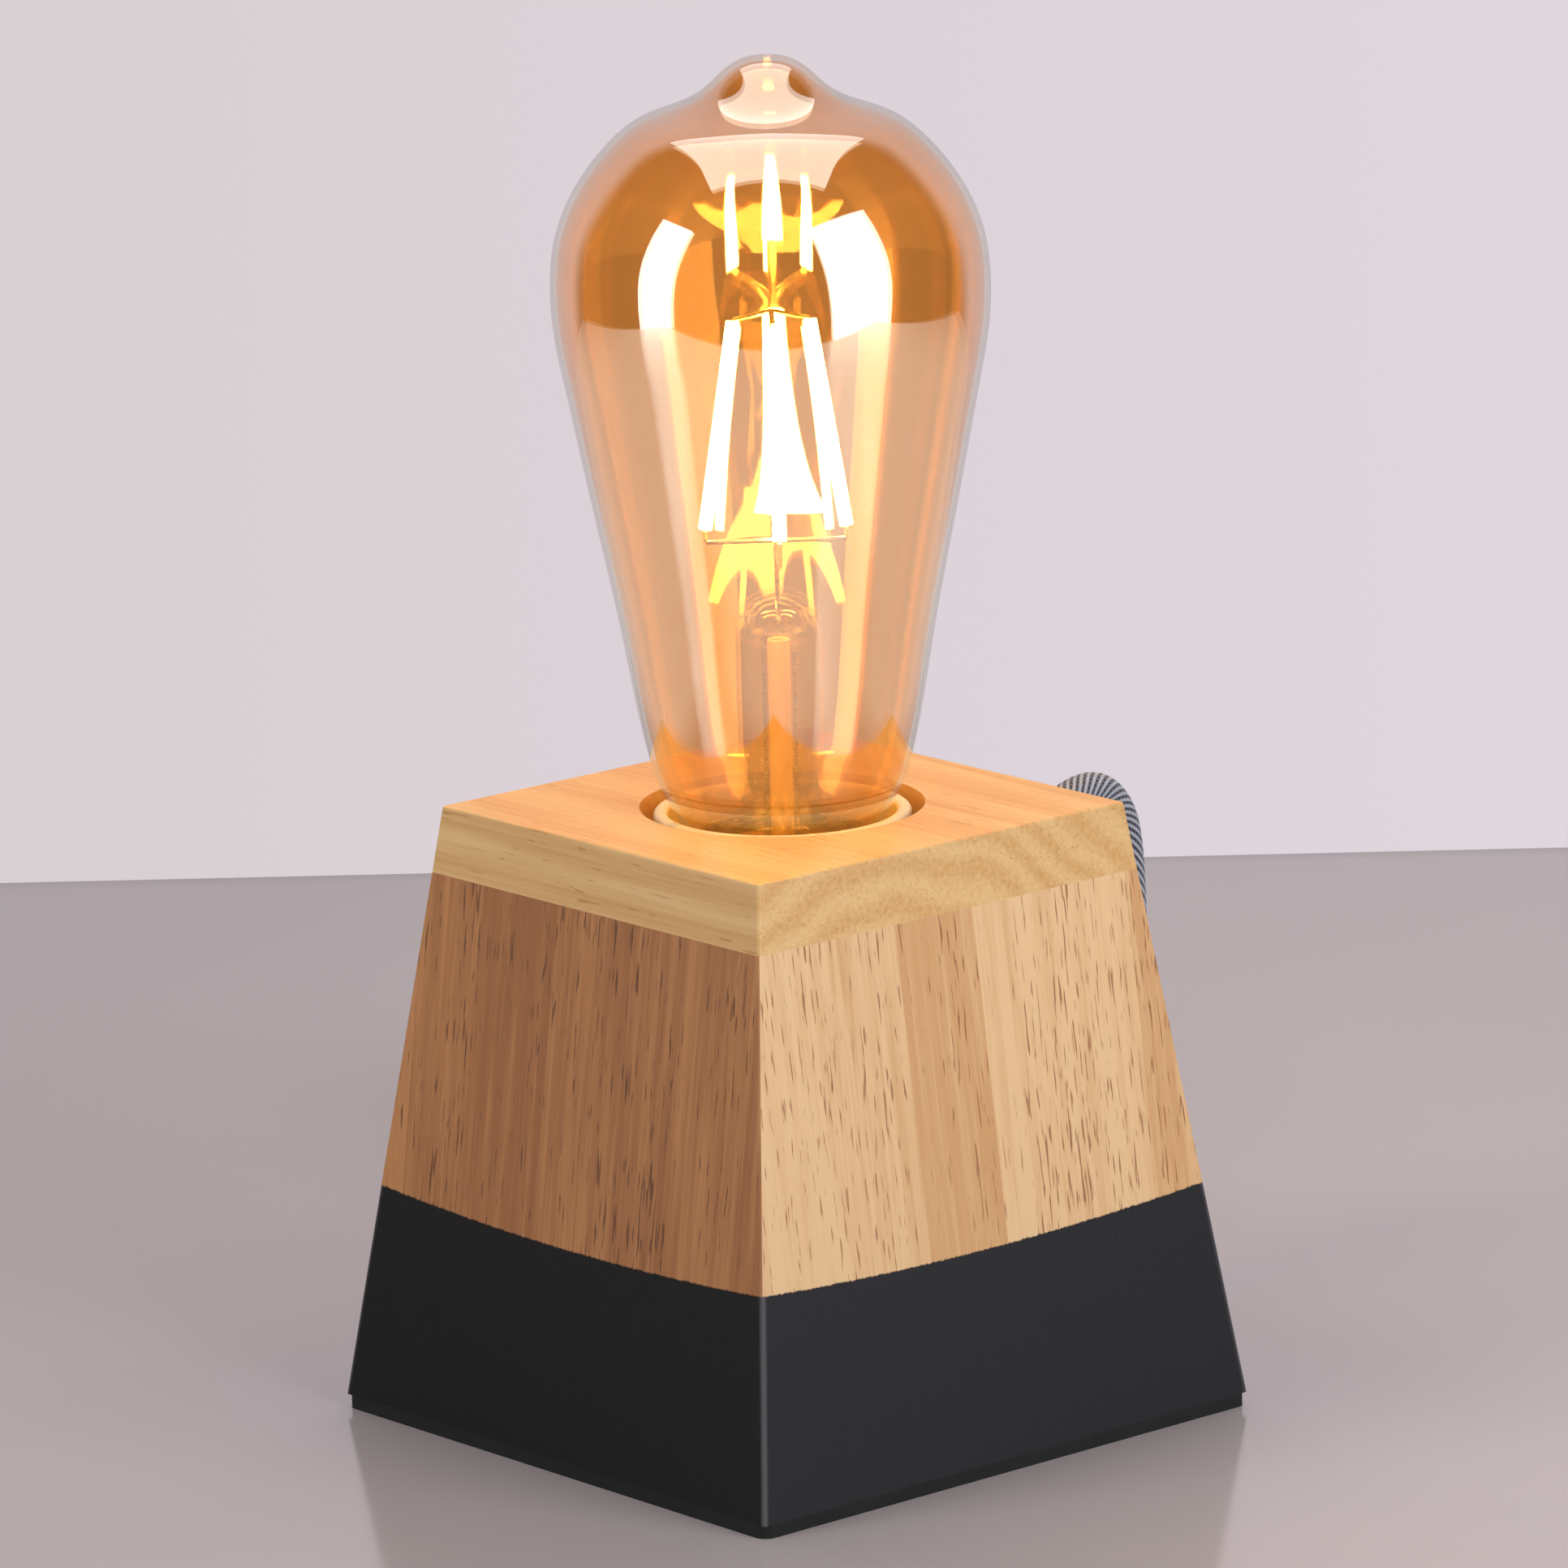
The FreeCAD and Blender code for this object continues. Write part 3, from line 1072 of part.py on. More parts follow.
def plug_pieces():
    """A flat two-pin plug with its tapered relief, lying where the cord's tail ends."""
    half_h, half_w, neck = PLUG_HEIGHT / 2, PLUG_WIDTH / 2, PLUG_NECK / 2
    back, front = RELIEF_LENGTH, RELIEF_LENGTH + PLUG_LENGTH
    shoulder = back + PLUG_SHOULDER
    outline = [(back, -neck), (shoulder, -half_w), (front, -half_w)]
    outline += [(x, -y) for x, y in reversed(outline)]
    body = eased_prism(outline, -half_h, half_h, PLUG_CORNER, PLUG_ROUND)
    ahead = Vector(1, 0, 0)
    relief = Part.makeCone(CORD_R + RELIEF_WALL, RELIEF_ROOT_R, back + PLUG_ROUND, Vector(0, 0, 0), ahead)
    body = body.fuse(relief).removeSplitter()
    pins = []
    for side in (-1, 1):
        y = side * PIN_SPACING / 2
        root, tip = Vector(front - PIN_ROOT, y, 0), Vector(front + PIN_LENGTH, y, 0)
        pin = rod_between(PIN_D / 2, root, tip)
        pins.append(pin.makeFillet(PIN_D / 4, [e for e in pin.Edges if e.BoundBox.XMin > front]))
        body = body.cut(rod_between(PIN_D / 2 + SCREW_SLACK, root - Vector(SCREW_SLACK, 0, 0), tip))
    end, before = Vector(*TAIL_POINTS[-1]), Vector(*TAIL_POINTS[-2])
    place = Placement(end, Rotation(Vector(1, 0, 0), end - before))
    pieces = {"plug_body": body, "plug_pins": Part.makeCompound(pins)}
    for shape in pieces.values():
        shape.Placement = place.multiply(shape.Placement)
    return pieces


def main():
    """Write one STEP file for each piece of the lamp."""
    os.makedirs("parts", exist_ok=True)
    groups = (
        wood_pieces, floor_pieces, bracket_pieces, holder_pieces, wire_pieces, bulb_pieces, cord_pieces,
        switch_pieces, plug_pieces,
    )
    for group in groups:
        for name, shape in group().items():
            if not shape.isValid():
                print("not valid:", name)
            shape.exportStep(f"parts/{name}.step")


if __name__ == "__main__":
    main()
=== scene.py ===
"""A bare bulb table lamp, dressed for a studio picture.

It has a staved wooden block with a dipped foot, a lit filament bulb and a braided lead that ends in a coil.
Everything is in metres in the frame of the CAD model. Sizes in the classes are in millimetres, as a maker
would give them, and are scaled where a mesh or a pattern is made.
"""

import json
import logging
import math
from dataclasses import dataclass, field
from enum import Enum

import bpy
import numpy as np
from mathutils import Matrix, Vector

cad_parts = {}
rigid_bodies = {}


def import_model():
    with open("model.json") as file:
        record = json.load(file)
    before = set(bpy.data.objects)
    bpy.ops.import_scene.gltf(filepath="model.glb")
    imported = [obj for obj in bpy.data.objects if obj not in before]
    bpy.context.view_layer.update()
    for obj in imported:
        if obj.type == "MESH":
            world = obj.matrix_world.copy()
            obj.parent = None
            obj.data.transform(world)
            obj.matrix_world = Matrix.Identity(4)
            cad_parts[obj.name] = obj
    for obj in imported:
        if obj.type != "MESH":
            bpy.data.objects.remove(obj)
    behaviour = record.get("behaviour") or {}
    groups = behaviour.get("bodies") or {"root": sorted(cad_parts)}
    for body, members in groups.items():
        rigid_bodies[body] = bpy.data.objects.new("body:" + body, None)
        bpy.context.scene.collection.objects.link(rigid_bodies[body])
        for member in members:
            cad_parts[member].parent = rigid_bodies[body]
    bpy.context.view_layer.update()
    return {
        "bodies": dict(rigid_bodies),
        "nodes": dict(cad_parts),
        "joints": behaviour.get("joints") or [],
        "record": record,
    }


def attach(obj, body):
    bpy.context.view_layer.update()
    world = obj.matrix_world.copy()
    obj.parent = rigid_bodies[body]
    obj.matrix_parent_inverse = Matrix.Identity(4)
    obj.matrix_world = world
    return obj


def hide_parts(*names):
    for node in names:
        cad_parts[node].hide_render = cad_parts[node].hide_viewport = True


LOG = logging.getLogger("lamp")
MM = 0.001
BLOCK_TOP = 92.0        # top of the wood above the table, mm
SENSOR_MM = 36.0        # width of the camera's sensor
CLIP = (0.05, 50.0)     # nearest and farthest that the camera sees, m
ON_AXIS = 1e-6          # a radius below this is a point on the axis, mm

Node = bpy.types.Node
Socket = bpy.types.NodeSocket
Material = bpy.types.Material
Tree = bpy.types.NodeTree
Item = bpy.types.Object
Pair = tuple[float, float]


# ---------------- small tools


def linear(code: str, alpha: float = 1.0) -> tuple[float, float, float, float]:
    """Turns an sRGB hex colour to linear light.

    Args:
        code: Six hex digits, with or without a leading #.
        alpha: The fourth channel.

    Returns:
        Red, green, blue and alpha, as a shader's socket takes them.
    """
    parts = [int(code.lstrip("#")[i:i + 2], 16) / 255 for i in (0, 2, 4)]
    red, green, blue = (p / 12.92 if p <= 0.04045 else ((p + 0.055) / 1.055) ** 2.4 for p in parts)
    return red, green, blue, alpha


def add(tree: Tree, kind: str, inputs: dict | None = None, **settings: object) -> Node:
    """Adds one node to a tree.

    Args:
        tree: The tree that the node goes in.
        kind: Blender's name of the node's class, after ShaderNode.
        inputs: Socket name or number to a value, or to the output socket that feeds it.
        **settings: The node's own properties.

    Returns:
        The new node.
    """
    node = tree.nodes.new("ShaderNode" + kind)
    for name, value in settings.items():
        setattr(node, name, value)
    for key, value in (inputs or {}).items():
        if isinstance(value, Socket):
            tree.links.new(value, node.inputs[key])
        else:
            node.inputs[key].default_value = value
    return node


def dress(node: str, material: Material) -> None:
    """Gives a CAD piece one material.

    Args:
        node: The CAD piece's name.
        material: What it is made of.
    """
    mesh = FRAME["nodes"][node].data
    mesh.materials.clear()
    mesh.materials.append(material)


def mesh_piece(name: str, points: list, faces: list, material: Material, smooth: bool = True) -> Item:
    """Makes an object from points and faces.

    Args:
        name: The object's name.
        points: Places in metres.
        faces: Lists of point numbers.
        material: What it is made of.
        smooth: Whether its faces are shaded smooth.

    Returns:
        The object, linked to the scene.
    """
    mesh = bpy.data.meshes.new(name)
    mesh.from_pydata([tuple(p) for p in points], [], faces)
    mesh.materials.append(material)
    mesh.polygons.foreach_set("use_smooth", [smooth] * len(mesh.polygons))
    mesh.validate()
    piece = bpy.data.objects.new(name, mesh)
    bpy.context.scene.collection.objects.link(piece)
    return piece


def smooth_line(points: list[Pair], steps: int) -> list[Pair]:
    """Draws a natural cubic spline through points in a plane.

    Args:
        points: The places that the line goes through.
        steps: Pieces between two of them.

    Returns:
        Places along the line, both ends included.
    """
    given = np.array(points, float)
    knots = np.concatenate([[0], np.cumsum(np.linalg.norm(np.diff(given, axis=0), axis=1))])
    gaps = np.diff(knots)
    count = len(given)
    system, right = np.eye(count), np.zeros((count, 2))
    for i in range(1, count - 1):
        system[i, i - 1:i + 2] = gaps[i - 1], 2 * (gaps[i - 1] + gaps[i]), gaps[i]
        right[i] = 6 * ((given[i + 1] - given[i]) / gaps[i] - (given[i] - given[i - 1]) / gaps[i - 1])
    bend = np.linalg.solve(system, right)
    line = []
    for i, gap in enumerate(gaps):
        for s in range(steps):
            b = s / steps
            a = 1 - b
            place = a * given[i] + b * given[i + 1]
            place += ((a ** 3 - a) * bend[i] + (b ** 3 - b) * bend[i + 1]) * gap * gap / 6
            line.append(tuple(place))
    line.append(tuple(given[-1]))
    return line


def direction(azimuth: float, elevation: float) -> Vector:
    """Gives the way from the lamp to a place round it.

    Args:
        azimuth: Degrees to the right of the front.
        elevation: Degrees above the table.

    Returns:
        A vector of length 1.
    """
    a, e = math.radians(azimuth), math.radians(elevation)
    return Vector((math.sin(a) * math.cos(e), -math.cos(a) * math.cos(e), math.sin(e)))


def lathe(name: str, outline: list[Pair], around: int, material: Material) -> Item:
    """Turns an outline about the Z axis.

    Args:
        name: The object's name.
        outline: Radius and height in millimetres, from one end of the line to the other.
        around: Pieces round the axis.
        material: What it is made of.

    Returns:
        The turned object.
    """
    points, rows = [], []
    for radius, height in outline:
        if radius < ON_AXIS:
            rows.append([len(points)] * around)
            points.append((0, 0, height * MM))
            continue
        rows.append(list(range(len(points), len(points) + around)))
        for i in range(around):
            angle = 2 * math.pi * i / around
            points.append((radius * math.cos(angle) * MM, radius * math.sin(angle) * MM, height * MM))
    faces = []
    for low, high in zip(rows, rows[1:]):
        for i in range(around):
            j = (i + 1) % around
            corners = [low[i], low[j], high[j], high[i]]
            faces.append(list(dict.fromkeys(corners)))
    return mesh_piece(name, points, [f for f in faces if len(f) > 2], material)


# ---------------- finishes


@dataclass(frozen=True)
class Finish:
    """What a surface is made of and how it was made. Each kind builds its own shader."""

    name: str

    def make(self) -> Material:
        """Builds the material.

        Returns:
            The material.
        """
        material = bpy.data.materials.new(self.name)
        material.use_nodes = True
        tree = material.node_tree
        tree.nodes.clear()
        place = add(tree, "TexCoord").outputs["Object"]
        add(tree, "OutputMaterial", {0: self.shade(tree, place)})
        return material

    def shade(self, tree: Tree, place: Socket) -> Socket:
        """Builds the shader.

        Args:
            tree: The tree that the nodes go in.
            place: The socket that gives a point's place on the object.

        Returns:
            The shader's socket.
        """
        raise NotImplementedError


class Grain(Enum):
    """The face direction that a board's grain pattern is drawn across."""

    ACROSS_X = "X"
    ACROSS_Y = "Y"


@dataclass(frozen=True)
class StavedBoard(Finish):
    """Rubberwood board, glued up from upright staves, planed and oiled, with its foot dipped in matt paint.

    The eye sees upright streaks, staves that differ a little in tone, and short dark pores in bands.
    """

    across: Grain
    seed: float
    pale: str = "#D9B183"
    deep: str = "#B88654"
    pore: str = "#6E3F22"
    paint: str = "#2B2A2E"
    opposite: float = 0.37              # how far the opposite board's pattern is moved, m
    stave_mm: float = 15.0
    stave_contrast: float = 0.38
    streak_mm: Pair = (2.2, 60.0)       # width and length
    fibre_mm: Pair = (0.5, 14.0)
    fibre_share: float = 0.35
    pore_mm: Pair = (0.45, 7.0)
    pore_band_mm: Pair = (7.0, 90.0)
    pore_limit: float = 0.778           # less gives more pores
    pore_banding: float = 0.30
    pore_depth: float = 0.78
    dip_mm: Pair = (32.8, 1.5)          # the rim's height, and its climb at the corners
    half_mm: float = 43.0               # half the board's width at the rim
    bleed_mm: float = 0.5               # how far the paint creeps along the fibres
    rim_edge_mm: Pair = (0.15, 0.35)
    # pale grey along the upright edges: a painted highlight of the rounded edges
    edge_highlight: str = "#77777C"
    edge_highlight_mm: Pair = (0.9, 0.2)     # where the painted highlight begins and is full, from the upright edge
    edge_highlight_share: float = 0.4

    def shade(self, tree: Tree, place: Socket) -> Socket:
        """Builds the shader, as its base class says."""
        split = add(tree, "SeparateXYZ", {0: place})
        side = split.outputs[self.across.value]
        other = split.outputs["Y" if self.across is Grain.ACROSS_X else "X"]
        flip = add(tree, "Math", {0: other, 1: 0.0}, operation="GREATER_THAN").outputs[0]
        shift = add(tree, "Math", {
            0: flip, 1: self.opposite, 2: self.seed}, operation="MULTIPLY_ADD").outputs[0]
        moved = add(tree, "Math", {0: side, 1: shift}, operation="ADD").outputs[0]

        def stretched(unit_mm: Pair) -> Socket:
            """Gives coordinates in which a pattern's unit is so wide and so long on the board."""
            wide = add(tree, "Math", {
                0: moved, 1: 1 / (unit_mm[0] * MM)}, operation="MULTIPLY").outputs[0]
            tall = add(tree, "Math", {
                0: split.outputs["Z"], 1: 1 / (unit_mm[1] * MM)}, operation="MULTIPLY").outputs[0]
            joined = add(tree, "CombineXYZ", {0: wide, 1: tall, 2: shift})
            return joined.outputs[0]

        stave = add(tree, "Math", {
            0: moved, 1: 1 / (self.stave_mm * MM)}, operation="MULTIPLY").outputs[0]
        number = add(tree, "Math", {0: stave}, operation="FLOOR").outputs[0]
        tone = add(tree, "TexWhiteNoise", {"W": number}, noise_dimensions="1D").outputs[0]
        streaks = add(tree, "TexNoise", {
            "Vector": stretched(self.streak_mm), "Scale": 1.0, "Detail": 5.0, "Roughness": 0.62,
            "Distortion": 0.35}).outputs[0]
        fine = add(tree, "TexNoise", {
            "Vector": stretched(self.fibre_mm), "Scale": 1.0, "Detail": 3.0}).outputs[0]
        blend = add(tree, "Math", {
            0: tone, 1: self.stave_contrast, 2: -self.stave_contrast / 2},
            operation="MULTIPLY_ADD").outputs[0]
        blend = add(tree, "Math", {0: streaks, 1: blend}, operation="ADD").outputs[0]
        blend = add(tree, "Math", {
            0: fine, 1: self.fibre_share, 2: blend}, operation="MULTIPLY_ADD").outputs[0]
        share = add(tree, "MapRange", {
            0: blend, 1: 0.4, 2: 0.94}, interpolation_type="SMOOTHSTEP").outputs[0]
        wood = add(tree, "Mix", {
            0: share, 6: linear(self.pale), 7: linear(self.deep)}, data_type="RGBA").outputs[2]

        bands = add(tree, "TexNoise", {
            "Vector": stretched(self.pore_band_mm), "Scale": 1.0, "Detail": 1.0}).outputs[0]
        dots = add(tree, "TexNoise", {
            "Vector": stretched(self.pore_mm), "Scale": 1.0, "Detail": 1.5, "Roughness": 0.6}).outputs[0]
        limit = add(tree, "Math", {
            0: bands, 1: -self.pore_banding, 2: self.pore_limit}, operation="MULTIPLY_ADD").outputs[0]
        past = add(tree, "Math", {0: dots, 1: limit}, operation="SUBTRACT").outputs[0]
        pores = add(tree, "MapRange", {0: past, 1: 0.0, 2: 0.05}).outputs[0]
        dark = add(tree, "Math", {0: pores, 1: self.pore_depth}, operation="MULTIPLY").outputs[0]
        wood = add(tree, "Mix", {
            0: dark, 6: wood, 7: linear(self.pore)}, data_type="RGBA").outputs[2]

        # The dip's rim climbs a little towards the corners, where the paint clings to the edge.
        size_x = add(tree, "Math", {0: split.outputs["X"]}, operation="ABSOLUTE").outputs[0]
        size_y = add(tree, "Math", {0: split.outputs["Y"]}, operation="ABSOLUTE").outputs[0]
        near = add(tree, "Math", {0: size_x, 1: size_y}, operation="MINIMUM").outputs[0]
        level, climb = self.dip_mm
        squared = add(tree, "Math", {0: near, 1: near}, operation="MULTIPLY").outputs[0]
        rim = add(tree, "Math", {
            0: squared, 1: climb * MM / (self.half_mm * MM) ** 2, 2: level * MM},
            operation="MULTIPLY_ADD").outputs[0]
        bleed = add(tree, "Math", {
            0: fine, 1: self.bleed_mm * MM, 2: rim}, operation="MULTIPLY_ADD").outputs[0]
        below = add(tree, "Math", {
            0: bleed, 1: split.outputs["Z"]}, operation="SUBTRACT").outputs[0]
        painted = add(tree, "MapRange", {
            0: below, 1: self.rim_edge_mm[0] * MM, 2: self.rim_edge_mm[1] * MM}).outputs[0]
        # A painted highlight along the upright edges, drawn as paler paint there; the paint also takes a
        # faint print of the grain.
        apart = add(tree, "Math", {0: size_x, 1: size_y}, operation="SUBTRACT").outputs[0]
        apart = add(tree, "Math", {0: apart}, operation="ABSOLUTE").outputs[0]
        edge_highlight_amount = add(tree, "MapRange", {
            0: apart, 1: self.edge_highlight_mm[0] * MM, 2: self.edge_highlight_mm[1] * MM,
            3: 0.0, 4: self.edge_highlight_share}).outputs[0]
        coat = add(tree, "Mix", {
            0: edge_highlight_amount, 6: linear(self.paint), 7: linear(self.edge_highlight)}, data_type="RGBA").outputs[2]
        colour = add(tree, "Mix", {0: painted, 6: wood, 7: coat}, data_type="RGBA").outputs[2]

        relief = add(tree, "Math", {
            0: pores, 1: -0.7, 2: fine}, operation="MULTIPLY_ADD").outputs[0]
        bump = add(tree, "Bump", {"Height": relief, "Strength": 0.16, "Distance": 0.15 * MM})
        rough = add(tree, "MapRange", {0: painted, 3: 0.5, 4: 0.55}).outputs[0]
        shader = add(tree, "BsdfPrincipled", {
            "Base Color": colour, "Roughness": rough, "IOR": 1.48, "Normal": bump.outputs[0],
            "Specular IOR Level": add(tree, "MapRange", {0: painted, 3: 0.5, 4: 0.3}).outputs[0]})
        return shader.outputs[0]


@dataclass(frozen=True)
class SolidWood(Finish):
    """Plain-sawn rubberwood, planed and oiled.

    The eye sees a long straight figure on its sides, growth rings on its ends, and short dashes of pores.
    """

    pale: str = "#DDB67F"
    deep: str = "#C99659"
    pore: str = "#A6713F"
    ring_mm: float = 5.2
    heart_mm: Pair = (-9.0, 42.0)       # the tree's heart lies along X below the board: its Y and Z
    drift: float = 0.012                # how far the rings wander, m
    drift_scale: tuple = (8.0, 45.0, 45.0)
    fibre_scale: tuple = (25.0, 1100.0, 1100.0)
    pore_scale: tuple = (160.0, 1900.0, 1900.0)

    def shade(self, tree: Tree, place: Socket) -> Socket:
        """Builds the shader, as its base class says."""
        y, z = (v * MM for v in self.heart_mm)
        drift = add(tree, "TexNoise", {
            "Vector": add(tree, "Mapping", {0: place, 3: self.drift_scale}).outputs[0],
            "Scale": 1.0, "Detail": 2.0}).outputs[1]
        warp = add(tree, "VectorMath", {0: drift, 1: (self.drift,) * 3, 2: place},
                   operation="MULTIPLY_ADD").outputs[0]
        spot = add(tree, "VectorMath", {0: warp, 1: (0, y, z)}, operation="SUBTRACT").outputs[0]
        flat = add(tree, "VectorMath", {0: spot, 1: (0.02, 1, 1)},
                   operation="MULTIPLY").outputs[0]
        away = add(tree, "VectorMath", {0: flat}, operation="LENGTH").outputs[1]
        turns = add(tree, "Math", {
            0: away, 1: 2 * math.pi / (self.ring_mm * MM)}, operation="MULTIPLY").outputs[0]
        wave = add(tree, "Math", {0: turns}, operation="SINE").outputs[0]
        fibres = add(tree, "TexNoise", {
            "Vector": add(tree, "Mapping", {0: place, 3: self.fibre_scale}).outputs[0],
            "Scale": 1.0, "Detail": 4.0, "Roughness": 0.6}).outputs[0]
        share = add(tree, "Math", {
            0: wave, 1: 0.16, 2: fibres}, operation="MULTIPLY_ADD").outputs[0]
        share = add(tree, "MapRange", {0: share, 1: 0.28, 2: 0.85}).outputs[0]
        wood = add(tree, "Mix", {
            0: share, 6: linear(self.pale), 7: linear(self.deep)}, data_type="RGBA").outputs[2]
        dashes = add(tree, "TexNoise", {
            "Vector": add(tree, "Mapping", {0: place, 3: self.pore_scale}).outputs[0],
            "Scale": 1.0, "Detail": 1.0}).outputs[0]
        pores = add(tree, "MapRange", {0: dashes, 1: 0.67, 2: 0.73, 3: 0.0, 4: 0.55}).outputs[0]
        wood = add(tree, "Mix", {
            0: pores, 6: wood, 7: linear(self.pore)}, data_type="RGBA").outputs[2]
        bump = add(tree, "Bump", {"Height": fibres, "Strength": 0.1, "Distance": 0.1 * MM})
        shader = add(tree, "BsdfPrincipled", {
            "Base Color": wood, "Roughness": 0.42, "IOR": 1.48, "Normal": bump.outputs[0]})
        return shader.outputs[0]


@dataclass(frozen=True)
class Moulded(Finish):
    """Moulded plastic, ceramic or foam: one colour, a fine grit from the mould and faint cloudy wear."""

    colour: str
    roughness: float = 0.4
    ior: float = 1.5
    grit_mm: float = 0.25
    grit_depth: float = 0.08

    def shade(self, tree: Tree, place: Socket) -> Socket:
        """Builds the shader, as its base class says."""
        grit = add(tree, "TexNoise", {
            "Vector": place, "Scale": 1 / (self.grit_mm * MM), "Detail": 2.0}).outputs[0]
        cloud = add(tree, "TexNoise", {"Vector": place, "Scale": 90.0, "Detail": 3.0}).outputs[0]
        shade = add(tree, "MapRange", {0: cloud, 1: 0.3, 2: 0.7, 3: 0.88, 4: 1.08}).outputs[0]
        colour = add(tree, "VectorMath", {0: linear(self.colour)[:3], "Scale": shade},
                     operation="SCALE")
        rough = add(tree, "MapRange", {
            0: cloud, 1: 0.3, 2: 0.7, 3: self.roughness - 0.05, 4: self.roughness + 0.07}).outputs[0]
        bump = add(tree, "Bump", {
            "Height": grit, "Strength": self.grit_depth, "Distance": 0.1 * MM})
        shader = add(tree, "BsdfPrincipled", {
            "Base Color": colour.outputs[0], "Roughness": rough, "IOR": self.ior, "Normal": bump.outputs[0]})
        return shader.outputs[0]


@dataclass(frozen=True)
class Metal(Finish):
    """Turned, stamped or drawn metal, with the fine lines that its making leaves."""

    colour: str
    roughness: float = 0.28
    line_mm: float = 0.2
    along: tuple[float, float, float] = (1.0, 1.0, 8.0)

    def shade(self, tree: Tree, place: Socket) -> Socket:
        """Builds the shader, as its base class says."""
        scale = tuple(a / (8 * self.line_mm * MM) for a in self.along)
        lines = add(tree, "TexNoise", {
            "Vector": add(tree, "Mapping", {0: place, 3: scale}).outputs[0],
            "Scale": 1.0, "Detail": 3.0}).outputs[0]
        rough = add(tree, "MapRange", {
            0: lines, 1: 0.3, 2: 0.7, 3: self.roughness - 0.08, 4: self.roughness + 0.1}).outputs[0]
        bump = add(tree, "Bump", {"Height": lines, "Strength": 0.06, "Distance": 0.05 * MM})
        shader = add(tree, "BsdfPrincipled", {
            "Base Color": linear(self.colour), "Metallic": 1.0, "Roughness": rough,
            "Normal": bump.outputs[0]})
        return shader.outputs[0]


@dataclass(frozen=True)
class LustreGlass(Finish):
    """Blown soda-lime glass, thin, with an amber lustre.

    The eye sees what is behind it, tinted, and a mirror of what is before it, which grows towards the rim.
    The wall is too thin to bend light, so light goes straight through it.
    """

    tint: str
    mirror: str
    least: float
    rise: float = 3.2
    most: float = 0.9
    roughness: float = 0.02
    glow: float = 0.0       # brightness of a painted glow: the glass emits light that stands in for the sticks' light the lustre scatters
    # colour of the painted glow
    painted_glow: tuple[float, float, float, float] = (1.0, 0.42, 0.1, 1.0)

    def shade(self, tree: Tree, place: Socket) -> Socket:
        """Builds the shader, as its base class says."""
        facing = add(tree, "LayerWeight", {"Blend": 0.5}).outputs["Facing"]
        edge = add(tree, "Math", {0: facing, 1: self.rise}, operation="POWER").outputs[0]
        share = add(tree, "MapRange", {0: edge, 3: self.least, 4: self.most}).outputs[0]
        through = add(tree, "BsdfTransparent", {"Color": linear(self.tint)})
        gloss = add(tree, "BsdfPrincipled", {
            "Base Color": linear(self.mirror), "Metallic": 1.0, "Roughness": self.roughness})
        mix = add(tree, "MixShader", {0: share, 1: through.outputs[0], 2: gloss.outputs[0]})
        # The glass emits a faint warm light of its own: a painted glow.
        if self.glow:
            painted_glow = add(tree, "Emission", {0: self.painted_glow, 1: self.glow})
            mix = add(tree, "AddShader", {0: mix.outputs[0], 1: painted_glow.outputs[0]})
        return mix.outputs[0]


@dataclass(frozen=True)
class LitPhosphor(Finish):
    """A filament stick's phosphor, lit: far brighter than paper, and warm."""

    colour: str = "#FFF6A8"
    unlit: str = "#F2C04A"
    strength: float = 110.0

    def shade(self, tree: Tree, place: Socket) -> Socket:
        """Builds the shader, as its base class says."""
        grain = add(tree, "TexNoise", {"Vector": place, "Scale": 900.0}).outputs[0]
        shade = add(tree, "MapRange", {0: grain, 3: 0.9, 4: 1.1}).outputs[0]
        colour = add(tree, "VectorMath", {0: linear(self.colour)[:3], "Scale": shade},
                     operation="SCALE")
        shader = add(tree, "BsdfPrincipled", {
            "Base Color": linear(self.unlit), "Roughness": 0.6, "Emission Color": colour.outputs[0],
            "Emission Strength": self.strength})
        return shader.outputs[0]


